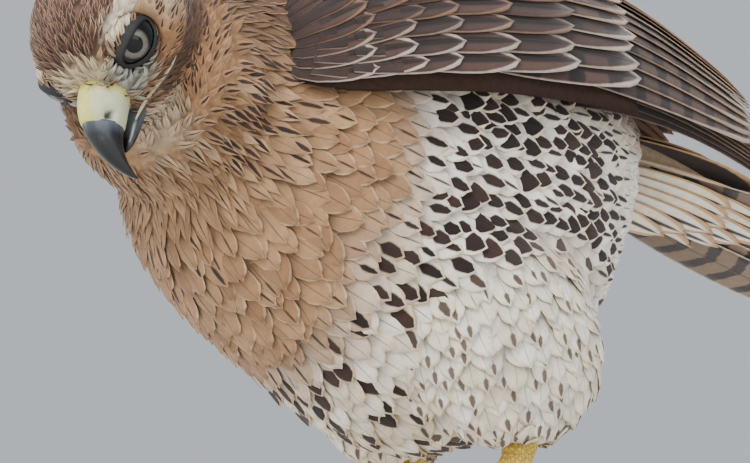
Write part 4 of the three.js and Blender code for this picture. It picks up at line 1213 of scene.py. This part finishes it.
WING_TIERS = [
    # name, count, root low and high, tip low and high, widths, lift root and tip, step, rows
    ("primaries", 9, (40, 0.03), (52, 0.3), (300, 0.28), (206, 0.3), (15, 19), (-10.8, -10.0), 1.0, 14),
    ("secondaries", 15, (22, 0.08), (30, 0.95), (172, 0.12), (192, 0.92), (19, 19), (-0.4, 0.9), 0.42, 14),
    ("greater_coverts", 14, (-22, 0.06), (10, 0.82), (72, 0.09),
     (98, 0.82), (16, 17), (4.2, 4.6), 0.36, 10),
    ("median_coverts", 15, (-36, 0.05), (-12, 0.86), (30, 0.07), (56, 0.86), (12, 15), (7.2, 8.2), 0.16, 9),
    ("lesser_coverts_1", 16, (-50, 0.04), (-30, 0.9), (-2, 0.05), (24, 0.9), (11, 13), (7.4, 9.2), 0.1, 8),
    ("lesser_coverts_2", 17, (-60, 0.03), (-44, 0.92), (-24, 0.04),
     (-4, 0.92), (10, 12), (6.6, 9.6), 0.08, 8),
    ("lesser_coverts_3", 17, (-69, 0.03), (-56, 0.94), (-40, 0.03),
     (-24, 0.94), (9, 11), (4.0, 9.2), 0.06, 7),
    ("marginal_coverts", 17, (-76, 0.03), (-68, 0.94), (-54, 0.03),
     (-42, 0.94), (8, 10), (1.2, 7.6), 0.05, 7),
    ("scapulars_1", 6, (-14, 0.7), (-4, 1.04), (70, 0.74), (92, 1.03), (20, 20), (4.4, 4.0), 0.3, 9),
    ("scapulars_2", 6, (-34, 0.72), (-26, 1.06), (34, 0.76), (50, 1.05), (18, 19), (4.6, 5.4), 0.3, 9),
    ("scapulars_3", 6, (-54, 0.74), (-50, 1.08), (2, 0.78), (12, 1.07), (16, 18), (3.6, 6.4), 0.25, 8),
    ("mantle", 6, (-72, 0.8), (-72, 1.1), (-26, 0.82), (-20, 1.09), (14, 16), (2.0, 6.8), 0.15, 8),
]


def wing_looks(kind, n, b, rng):
    """Colours of one tier of the wing: dark brown with buff edges, barred behind, mottled white above."""
    dice = rng.random((n, 4)).T
    ground = mix(*COVERT, dice[0])
    mark = mix(COVERT_MARK, BLACK_BROWN, dice[1])
    fringe = mix(*COVERT_FRINGE, dice[2])
    start, width, edge, bars = (np.full(n, v) for v in (0.3, 0.3, 0.08, 0.0))
    if kind == "primaries":
        ground = mix(*PRIMARY, dice[0])
        width[:], edge[:], bars[:] = 0.0, 0.04, 0.35
    elif kind == "secondaries":
        ground = mix(*SECONDARY, dice[0])
        width[:], edge[:], bars[:] = 0.0, 0.06, 0.42
        fringe = mix(*SECONDARY_FRINGE, dice[2])
    elif kind == "greater_coverts":
        bars[:] = 0.2 * (dice[3] > 0.5)
        fringe = mix(PINK_WHITE, GREATER_FRINGE, np.maximum(dice[2], smooth(b, 0.1, 0.4)))
        edge[:] = 0.06
    elif kind.startswith("scapulars"):
        pale = dice[3] > 0.4
        ground = mix(ground, PINK_WHITE, pale * 0.75)
        width[:] = np.where(pale, 0.5, 0.3)
    fringe = mix(fringe, LOW_FRINGE, (1 - smooth(b, 0.05, 0.22)) * 0.8)
    shade = (0.9 + 0.2 * dice[1])[:, None]
    return {"ground": ground * shade, "mark": mark, "fringe": fringe,
            "marks": np.stack([start, width, edge, bars], 1)}


class HAWK_OT_wings(bpy.types.Operator):
    """Fold both wings: flight feathers, tiers of coverts, scapulars and the arm under them"""
    bl_idname = "hawk.fold_wings"
    bl_label = "Wings"

    def execute(self, context):
        plumage = context.scene.hawk_plumage
        for side, word in ((LEFT, "left"), (RIGHT, "right")):
            rng = np.random.default_rng(plumage.seed + 10 + side)
            arm = self.arm(side, word)
            for tier in WING_TIERS:
                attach(self.tier(side, word, rng, *tier), "root")
            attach(arm, "root")
            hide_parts(f"{word}_wing")
        return {"FINISHED"}

    def tier(self, side, word, rng, name, n, r0, r1, t0, t1, wide, lift, stack, rows):
        """One row of vanes, from the wing's lower edge up to the spine, each on top of the one before."""
        t = (np.arange(n) / (n - 1))[:, None]
        root = np.array(r0) + (np.array(r1) - np.array(r0)) * t
        tip = np.array(t0) + (np.array(t1) - np.array(t0)) * t
        tip[:, 0] += rng.uniform(-1, 1, n) * 2.2
        tip[:, 1] += rng.uniform(-1, 1, n) * 0.006
        widths = (wide[0] + (wide[1] - wide[0]) * t[:, 0]) * (1 + 0.05 * rng.uniform(-1, 1, n))
        heights = np.array(lift)[None] + stack * np.arange(n)[:, None] * [0.6, 1.0]
        if name.startswith(("median", "lesser", "marginal")):
            heights = heights - SPINE_SINK * smooth(t, 0.45, 0.95)
        points, along, across = wing_vanes(side, root, tip, widths, heights, rows, 6)
        looks = wing_looks(name, n, tip[:, 1], rng)
        far, high = (tip[:, 0] + 80) / 400, np.clip(tip[:, 1], 0, 1.1) / 1.1
        bake = np.stack([0.02 + 0.94 * far, 0.02 + 0.9 * high], 1)
        piece = feather_piece(f"{word}_{name}", points, along, across, bake, looks, finish("wing"))
        thick = piece.modifiers.new("thickness", "SOLIDIFY")
        thick.thickness = FLIGHT_THICKNESS
        return piece

    def arm(self, side, word):
        """The soft bulk of the arm that carries the coverts."""
        rings = []
        above, below = np.linspace(-0.02, 0.99, 16), np.linspace(0.94, 0.02, 12)
        crown = np.sin(np.pi * (0.06 + 0.88 * np.linspace(0, 1, 16))) ** 0.4
        for y in np.linspace(WRIST_Y, ARM_END_Y, 24):
            past = y - WRIST_Y
            swell = mix(5.6, -2.2, smooth(past, 36, ARM_END_Y - WRIST_Y)) * smooth(past, -4, 20)
            deep = mix(9.0, 5.0, smooth(past, 44, ARM_END_Y - WRIST_Y)) * smooth(past, -8, 20)
            at = np.full(16, y)
            upper = wing_skin(side, at, above) + wing_frame(side, at, above)[2] * (swell * crown)[:, None]
            at = np.full(12, y)
            lower = wing_skin(side, at, below) - wing_frame(side, at, below)[2] * max(2.5, float(deep))
            rings.append(np.concatenate([upper, lower]))
        arm = solid_tube(f"{word}_arm", rings, finish("down"))
        paint_plain(arm, "ground", ARM)
        return arm


class HAWK_OT_tail(bpy.types.Operator):
    """Lay the twelve barred tail feathers and their coverts"""
    bl_idname = "hawk.lay_tail"
    bl_label = "Tail"

    def execute(self, context):
        rng = np.random.default_rng(context.scene.hawk_plumage.seed + 30)
        feathers = self.places(rng)
        along, across, outline = feather_grid(14, 6)
        rows = []
        for root_x, tip_x, start, reach, wide, height, tilt, _ in feathers:
            s = start + (reach - start) * along[:, None]
            half = wide / 2 * outline[:, None]
            middle = root_x + (tip_x - root_x) * along[:, None]
            c = across[None]
            z = height - abs(middle) * 0.12 + c * half * tilt - 0.04 * half * c ** 2
            rows.append(tail_point(s - 3.0 * c ** 2 * along[:, None], middle + c * half, z))
        n = len(feathers)
        looks = self.looks(np.array([f[-1] for f in feathers]), rng.random((n, 3)).T)
        bake = np.stack([0.05 + 0.9 * np.arange(n) / n, np.full(n, 0.5)], 1)
        tail = feather_piece("tail_feathers", np.array(rows), along, across, bake, looks, finish("wing"))
        thick = tail.modifiers.new("thickness", "SOLIDIFY")
        thick.thickness = FLIGHT_THICKNESS
        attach(tail, "root")
        turn = circle(24)
        stub = [tail_point(s + 0 * turn, wide * np.cos(turn), high * np.sin(turn))
                for s, wide, high in table(TAIL_BULK)(np.linspace(2, 70, 9))]
        rump = solid_tube("tail_stub", stub, finish("down"))
        paint_plain(rump, "ground", TAIL_STUB)
        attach(rump, "root")
        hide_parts("tail")
        return {"FINISHED"}

    def places(self, rng):
        """Root and tip to the side, start and reach along, width, height, tilt and kind of each feather."""
        feathers = []
        for n in np.arange(12) - 5.5:
            height = 1.5 - abs(n) * 1.1 + (2.2 if n == 0.5 else 0)
            reach = TAIL_LENGTH - abs(n) * 1.6 - rng.random() * 2
            feathers.append((n * 3.4, n * 7.0, 30, reach, 26, height, -0.09 * np.sign(n), "rectrix"))
        for count, level, far in TAIL_COVERTS:
            up = np.sign(level)
            for n in np.arange(count) - (count - 1) / 2:
                reach = far - abs(n) * 8 + rng.uniform(-2, 2)
                feathers.append((n * 6, n * 8, 10, reach, 19, level - up * abs(n) * 0.8, 0.06 * up,
                                 "above" if up > 0 else "below"))
        return feathers

    def looks(self, kinds, dice):
        """Barred brown tail feathers, brown coverts above and pale ones below."""
        n = len(kinds)
        rectrix, below = kinds == "rectrix", kinds == "below"
        ground = mix(*RECTRIX, dice[0])
        ground[~rectrix] = mix(BROWN, CHOCOLATE, dice[0, ~rectrix])
        ground[below] = mix(WHITE, CREAM, dice[0, below])
        width = np.where(below, 0.2, 0.3) * ~rectrix
        edge, bars = np.where(rectrix, 0.05, 0.1), np.where(rectrix, 0.5, 0.0)
        marks = np.stack([np.full(n, 0.5), width, edge, bars], 1)
        return {"ground": ground, "mark": mix(RECTRIX_MARK, BLACK_BROWN, dice[1]),
                "fringe": np.where(rectrix[:, None], RECTRIX_FRINGE, BUFF), "marks": marks}


class HAWK_OT_eyes(bpy.types.Operator):
    """Set the eyes, their lids and the brow over them"""
    bl_idname = "hawk.set_eyes"
    bl_label = "Eyes"

    def execute(self, context):
        for side, word in ((LEFT, "left"), (RIGHT, "right")):
            look = unit(sided(EYE_LOOK, side))
            along = unit(np.cross([0, 0, 1], look))
            over = np.cross(look, along)
            self.ball(side, word, unit(sided(EYE_GAZE, side)))
            lids = self.lids(side, word, look, along, over)
            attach(lids, "root")
            seed = context.scene.hawk_plumage.seed + 50 + side
            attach(self.brow(side, word, look, along, over, np.random.default_rng(seed)), "root")
        return {"FINISHED"}

    def ball(self, side, word, gaze):
        """The eyeball, with a map of the distance from the pupil's middle for its finish."""
        rows, around = 40, 48
        polar = np.linspace(0.0, math.pi, rows)[:, None]
        turn = circle(around)[None]
        flat = unit(np.cross([0, 0, 1], gaze))
        out = (np.cos(polar)[..., None] * gaze + (np.sin(polar) * np.cos(turn))[..., None] * flat
               + (np.sin(polar) * np.sin(turn))[..., None] * np.cross(gaze, flat))
        bulge = 1 + CORNEA_RISE * np.exp(-(polar / 0.45) ** 2)
        points = in_head(sided(EYE_AT, side) + EYE_RADIUS * bulge[..., None] * out)
        eye = mesh_object(f"{word}_eyeball", points.reshape(-1, 3), tube_faces(rows, around), finish("eye"))
        places = np.broadcast_arrays(np.abs(turn - math.pi), polar)
        add_uv(eye, "Eye", np.stack(places, -1).reshape(-1, 2))
        work = bmesh.new()
        work.from_mesh(eye.data)
        bmesh.ops.recalc_face_normals(work, faces=work.faces)
        work.to_mesh(eye.data)
        work.free()
        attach(eye, "root")
        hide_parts(f"{word}_eye")

    def brow(self, side, word, look, along, over, rng):
        """Small feathers that close over the eyeball round its lids."""
        n = BROW_COUNT
        k = np.arange(n)
        turn = k * GOLDEN_ANGLE
        bend = np.radians(lid_opening(turn) + 7 + 62 * np.sqrt((k + 0.5) / n))[:, None]
        spoke = along * np.cos(turn)[:, None] + over * np.sin(turn)[:, None]
        root = look * np.cos(bend) + spoke * np.sin(bend)
        outward = spoke * np.cos(bend) - look * np.sin(bend)
        back = np.array([-1.0, 0, 0]) + 0.12 * rng.normal(size=root.shape)
        back = unit(back - root * (back * root).sum(1, keepdims=True))
        # a feather that would run over the opening is turned away from it
        inward = np.clip(-(back * outward).sum(1, keepdims=True), 0, 1)
        way = unit(back + outward * (0.1 + 1.7 * inward))
        stations, across, outline = feather_grid(6, 2, True)
        a = (stations * BROW_LENGTH / BROW_RADIUS)[None, :, None]
        out = root[:, None] * np.cos(a) + way[:, None] * np.sin(a)
        ahead = way[:, None] * np.cos(a) - root[:, None] * np.sin(a)
        height = (BROW_RADIUS - 0.4 + 0.8 * stations)[None, :, None, None]
        half = (BROW_WIDTH / 2 * outline[:, None] * across[None])[None, ..., None]
        middle = sided(EYE_AT, side)
        points = in_head(middle + out[:, :, None] * height + np.cross(ahead, out)[:, :, None] * half)
        roots = in_head(middle + root * BROW_RADIUS)
        return feather_piece(f"{word}_brow_feathers", points, stations, across, bake_places(roots),
                             looks_of(roots, np.zeros(n), rng), finish("head"))

    def lids(self, side, word, look, along, over):
        """A rim of dark skin round an almond opening that closes on the eyeball."""
        steps = 64
        turn = circle(steps)
        spoke = along[None] * np.cos(turn)[:, None] + over[None] * np.sin(turn)[:, None]
        rings = []
        for wider, out in LID_PROFILE:
            bend = np.radians(lid_opening(turn) + wider)[:, None]
            rings.append(in_head(sided(EYE_AT, side) + out * (look * np.cos(bend) + spoke * np.sin(bend))))
        points = np.array(rings)
        faces = tube_faces(len(rings), steps)
        lids = mesh_object(f"{word}_lids", points.reshape(-1, 3), faces, finish("lid"))
        shade = np.linspace(0, 1, len(rings))[:, None, None]
        colour = LID_INNER + (LID_OUTER - LID_INNER) * shade + np.zeros(points.shape)
        paint(lids, "tint", colour.reshape(-1, 3))
        thick = lids.modifiers.new("thickness", "SOLIDIFY")
        thick.thickness = LID_THICKNESS
        thick.offset = 0
        return lids


def lid_opening(turn):
    """Half the eye's opening in degrees, an ellipse by the turn round its middle."""
    return 1 / np.hypot(np.cos(turn) / LID_LONG, np.sin(turn) / LID_WIDE)


def bill_rings(sections, places, swell, around=40):
    """Rings of a bill whose sections lean with the line from upper to lower edge."""
    at = numbered(sections)(places)
    top = np.stack([at[:, 0], 0 * at[:, 0], at[:, 1]], 1)
    low = np.stack([at[:, 2], 0 * at[:, 0], at[:, 3]], 1)
    middle, up = (top + low) / 2, top - low
    half = np.linalg.norm(up, axis=1, keepdims=True) / 2 + swell[:, None]
    up = unit(up)
    turn = circle(around)
    u = np.sin(turn)[None] * half
    a = np.cos(turn)[None] * (at[:, 4:5] + swell[:, None])
    a = a * np.where(u < 0, 1, 1 - 0.25 * u / half)
    return middle[:, None] + up[:, None] * u[..., None] + np.array([0.0, 1.0, 0.0]) * a[..., None]


# the mouth line is painted shade: a dark tube where the bill's halves meet
MOUTH_FOLDS = (("gape", 0.55, 0.0, GAPE), ("mouth_shade_line", 0.5, -0.95, MOUTH_SHADE))


class HAWK_OT_bill(bpy.types.Operator):
    """Shape the cere with its nostrils, the hooked bill and the gape"""
    bl_idname = "hawk.shape_bill"
    bl_label = "Cere and bill"

    def execute(self, context):
        bare = context.scene.hawk_bare
        cere = self.cere(bare)
        bill = self.horn("upper_bill_horn", bare, UPPER_BILL, CERE_END - CERE_OVERLAP, 64,
                         (CERE_END - 0.3, CERE_END + 1.1))
        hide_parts("upper_bill")
        lower = self.horn("lower_bill_horn", bare, LOWER_BILL, 0, 36, (0.8, 3.5))
        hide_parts("lower_bill")
        pieces = [cere, bill, lower]
        for side, word in ((LEFT, "left"), (RIGHT, "right")):
            pieces += self.mouth(side, word)
        for piece in pieces:
            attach(piece, "root")
        return {"FINISHED"}

    def cere(self, bare):
        """The swollen skin over the bill's base, dented at the nostrils and paler at its sides; the
        nostrils are dark with painted shade.
        """
        places = np.linspace(0, CERE_END, 30)
        swell = 0.3 + 0.4 * np.sin(np.pi * np.clip(places / CERE_END, 0, 1))
        swell = swell - 0.3 * smooth(places, CERE_END - 0.3, CERE_END)
        rings = bill_rings(UPPER_BILL, places, swell)
        nostril = np.ones(rings.shape[:2])
        for side in (LEFT, RIGHT):
            away = (rings - sided(NOSTRIL_AT, side)) / NOSTRIL_REACH
            d = np.sqrt(away[..., 0] ** 2 + away[..., 1] ** 2 + away[..., 2] ** 2)
            rings[..., 1] -= side * NOSTRIL_DEPTH * np.exp(-d ** 2)
            nostril = np.minimum(nostril, smooth(d, 0.45, 0.95))
        cere = solid_tube("cere_swelling", in_head(rings), finish("cere"))
        place = with_ends(rings).reshape(-1, 3)
        colour = mix(CERE_EDGE, np.array(bare.cere_colour[:3]), smooth(place[:, 2], -10, -5))
        beside = smooth(np.abs(place[:, 1]), 2.0, 4.5) * smooth(place[:, 0], 17, 21)
        colour = mix(colour, CERE_SIDE, beside * 0.85)
        # painted shade: the shallow dent of each nostril is painted dark for its opening
        colour = mix(NOSTRIL_SHADE, colour, with_ends(nostril).reshape(-1))
        paint(cere, "tint", for_each_point(cere, colour))
        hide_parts("cere")
        return cere

    def horn(self, name, bare, sections, first, stations, darkening):
        """A bill's half, from the section at first to its tip, darkening between two sections."""
        places = np.linspace(first, len(sections) - 1, stations)
        rings = bill_rings(sections, places, np.zeros(stations))
        piece = solid_tube(name, in_head(rings), finish("bill"))
        share = np.repeat(with_ends(smooth(places, *darkening)), rings.shape[1])
        colour = mix(np.array(bare.bill_base[:3]), np.array(bare.bill_tip[:3]), share)
        paint(piece, "tint", for_each_point(piece, colour))
        return piece

    def mouth(self, side, word):
        """The gape: a pale fold of skin with a dark tube of painted shade along the mouth under it."""
        made = []
        for name, stout, drop, colour in MOUTH_FOLDS:
            line = curve_through([sided(p, side) + [0, 0, drop] for p in GAPE_LINE], 30)
            radius = stout * np.interp(np.linspace(0, 1, 30), [0, 0.15, 0.6, 1], [0.5, 1.0, 1.0, 0.25])
            run = unit(np.gradient(line, axis=0))
            across = unit(np.cross(run, [0, 0, 1.0]))
            rings = rings_round(line, across, np.cross(across, run), radius[:, None], 14)
            fold = solid_tube(f"{word}_{name}", in_head(rings), finish("cere"))
            paint_plain(fold, "tint", colour)
            made.append(fold)
        return made


def toe_line(side, spec, n):
    """The middle line of a toe, arched over its pads, and the way it points."""
    turn, length, _, end, _ = spec
    way = np.array([math.sin(math.radians(turn)) * side, -math.cos(math.radians(turn)), 0.0])
    foot = np.array([*FOOT_AT[side], 0.0])
    knots = [foot + way * length * share + [0, 0, z] for share, z in TOE_ARCH]
    knots.append(foot + way * length + [0, 0, end - SOLE_SINK + 0.4])
    return curve_through(knots, n), way


class HAWK_OT_legs(bpy.types.Operator):
    """Stand the bird on its scuted legs and padded toes"""
    bl_idname = "hawk.stand_legs"
    bl_label = "Legs and feet"

    def execute(self, context):
        leg_tone = np.array(context.scene.hawk_bare.leg_colour[:3])
        for side, word in ((LEFT, "left"), (RIGHT, "right")):
            foot = np.array([*FOOT_AT[side], 0.0])
            self.tarsus(side, word, foot, leg_tone)
            self.foot(side, word, foot, leg_tone)
        return {"FINISHED"}

    def tarsus(self, side, word, foot, leg_tone):
        """The bare leg, with a row of broad plates down its front and painted shade in the grooves between
        them.
        """
        t = np.linspace(0, 1, 90)
        low, top = foot + TARSUS_FOOT, foot + np.array(TARSUS_TOP) * [side, 1, 1]
        line = low + (top - low) * t[:, None]
        radius = numbered([(r,) for r in TARSUS_RADII[::-1]])(t * 5)[:, 0]
        run = unit(top - low)
        across = unit(np.cross([0, 1.0, 0], run))
        front = np.cross(across, run)
        front = front * -np.sign(front[1])
        facing = np.clip(np.cos(circle(36)), 0, 1) ** 0.7
        step = (t * TARSUS_PLATES) % 1
        plate = (1 - np.abs(step - 0.45) * 1.6)[:, None] * facing[None] * smooth(t, 0.02, 0.1)[:, None]
        thick = radius[:, None] + np.clip(plate, 0, 1) * TARSUS_PLATE_RISE
        rings = rings_round(line, front, across, thick, 36)
        tarsus = solid_tube(f"{word}_tarsus_skin", rings, finish("leg"))
        # painted shade: the front darkens in the grooves between the plates
        lit_outside_grooves = np.clip(step * 6, 0, 1)[:, None] * facing[None] + (1 - facing[None])
        shade = 0.62 + 0.38 * with_ends(lit_outside_grooves).reshape(-1)
        paint(tarsus, "tint", for_each_point(tarsus, leg_tone * shade[:, None]))
        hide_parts(f"{word}_tarsus")
        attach(tarsus, "root")

    def foot(self, side, word, foot, leg_tone):
        made = [self.toe(side, word, k, spec, leg_tone) for k, spec in enumerate(TOES)]
        polar = np.linspace(0.05, math.pi - 0.05, 24)[:, None]
        turn = circle(32)[None]
        flat, high = np.sin(polar), np.cos(polar) + 0 * turn
        out = np.stack([flat * np.cos(turn), flat * np.sin(turn) * 1.05, high], -1)
        ball = foot + BALL_AT + BALL_RADIUS * out
        ball[..., 2] = np.maximum(ball[..., 2], 0.0)
        knuckle = solid_tube(f"{word}_foot_ball", ball, finish("leg"))
        paint_plain(knuckle, "tint", leg_tone * 0.92)
        made.append(knuckle)
        for piece in made:
            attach(piece, "root")
        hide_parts(f"{word}_foot")

    def toe(self, side, word, k, spec, leg_tone):
        """A toe with pads below and narrow plates above, flat where it stands, with painted shade in the
        grooves between the plates.
        """
        _, length, thick, thin, _ = spec
        line, _ = toe_line(side, spec, TOE_STATIONS)
        t = np.linspace(0, 1, TOE_STATIONS)
        run = unit(np.gradient(line, axis=0))
        across = unit(np.cross(run, [0, 0, 1.0]))
        pads = 1 + 0.10 * np.cos(t * 6 * math.pi)
        closing = np.sqrt(np.clip(1 - ((t - 0.92) / 0.085) ** 2 * (t > 0.92), 0.05, 1))
        above = np.clip(np.sin(circle(28)), 0, 1)[None]
        step = (t * length / TOE_PLATE) % 1
        plate = (1 - np.abs(step - 0.45) * 1.7)[:, None] * above ** 0.6
        radius = ((thick + (thin - thick) * t) * pads * closing)[:, None]
        radius = radius + np.clip(plate, 0, 1) * TOE_PLATE_RISE
        rings = rings_round(line, across, np.cross(across, run), radius, 28)
        rings[..., 2] = np.maximum(rings[..., 2], 0.0)
        toe = solid_tube(f"{word}_toe_{k + 1}", rings, finish("leg"))
        # painted shade: the top darkens in the grooves between the plates
        lit_outside_grooves = np.clip(step * 6, 0, 1)[:, None] * above + (1 - above)
        shade = 0.6 + 0.4 * with_ends(lit_outside_grooves).reshape(-1)
        paint(toe, "tint", for_each_point(toe, leg_tone * shade[:, None]))
        return toe


class HAWK_OT_claws(bpy.types.Operator):
    """Set the eight curved black claws"""
    bl_idname = "hawk.set_claws"
    bl_label = "Claws"

    def execute(self, context):
        for side, word in ((LEFT, "left"), (RIGHT, "right")):
            for k, spec in enumerate(TOES):
                claw = self.claw(side, f"{word}_claw_{k + 1}", spec)
                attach(claw, "root")
                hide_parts(f"{word}_talon_{k + 1}")
        return {"FINISHED"}

    def claw(self, side, name, spec):
        """An arc that leaves the toe's end rising and comes down to a point on the ground."""
        line, way = toe_line(side, spec, 20)
        start = line[-1] - way * CLAW_SET_BACK
        start[2] = spec[3] + 0.2
        upright = np.array([0, 0, 1.0])
        t = np.linspace(0, 1, 36)
        bend = spec[4] / 2 / math.sin(CLAW_SWEEP / 2)
        angle = CLAW_RISE - CLAW_SWEEP * t
        at = (start + way * (bend * (math.sin(CLAW_RISE) - np.sin(angle)))[:, None]
              + upright * (bend * (np.cos(angle) - math.cos(CLAW_RISE)))[:, None])
        run = way * np.cos(angle)[:, None] + upright * np.sin(angle)[:, None]
        across = unit(np.cross(way, upright))
        radius = np.maximum(spec[3] * 0.7 * (1 - t) ** 0.75, 0.12)
        rings = rings_round(at, across * CLAW_FLATNESS, np.cross(across, run), radius[:, None], 20)
        rings[..., 2] = np.maximum(rings[..., 2], 0.05)
        claw = solid_tube(name, rings, finish("claw"))
        share = np.repeat(with_ends(t), 20)
        paint(claw, "tint", for_each_point(claw, mix(CLAW_BASE, CLAW_TIP, smooth(share, 0.0, 0.4))))
        return claw


class HAWK_PT_panel(bpy.types.Panel):
    """Lists the sizes and the steps that build the hawk"""
    bl_label = "Hawk"
    bl_idname = "HAWK_PT_panel"
    bl_space_type = "VIEW_3D"
    bl_region_type = "UI"
    bl_category = "Hawk"

    def draw(self, context):
        scene = context.scene
        for group in (scene.hawk_stage, scene.hawk_plumage, scene.hawk_bare):
            for name in group.bl_rna.properties.keys():
                if name not in ("rna_type", "name"):
                    self.layout.prop(group, name)
        for step in STEPS:
            self.layout.operator(step.bl_idname)


STEPS = (HAWK_OT_stage, HAWK_OT_skin, HAWK_OT_body_feathers, HAWK_OT_wings, HAWK_OT_tail, HAWK_OT_eyes,
         HAWK_OT_bill, HAWK_OT_legs, HAWK_OT_claws)
GROUP_CLASSES = (HAWK_PG_stage, HAWK_PG_plumage, HAWK_PG_bare)
CLASSES = GROUP_CLASSES + STEPS + (HAWK_PT_panel,)


def register():
    for made in CLASSES:
        bpy.utils.register_class(made)
    bpy.types.Scene.hawk_stage = PointerProperty(type=HAWK_PG_stage)
    bpy.types.Scene.hawk_plumage = PointerProperty(type=HAWK_PG_plumage)
    bpy.types.Scene.hawk_bare = PointerProperty(type=HAWK_PG_bare)


def unregister():
    for name in ("hawk_stage", "hawk_plumage", "hawk_bare"):
        delattr(bpy.types.Scene, name)
    for made in reversed(CLASSES):
        bpy.utils.unregister_class(made)


def main():
    register()
    for step in (bpy.ops.hawk.lay_stage, bpy.ops.hawk.join_skin, bpy.ops.hawk.lay_feathers,
                 bpy.ops.hawk.fold_wings, bpy.ops.hawk.lay_tail, bpy.ops.hawk.set_eyes,
                 bpy.ops.hawk.shape_bill, bpy.ops.hawk.stand_legs, bpy.ops.hawk.set_claws):
        step()


if __name__ == "__main__":
    main()
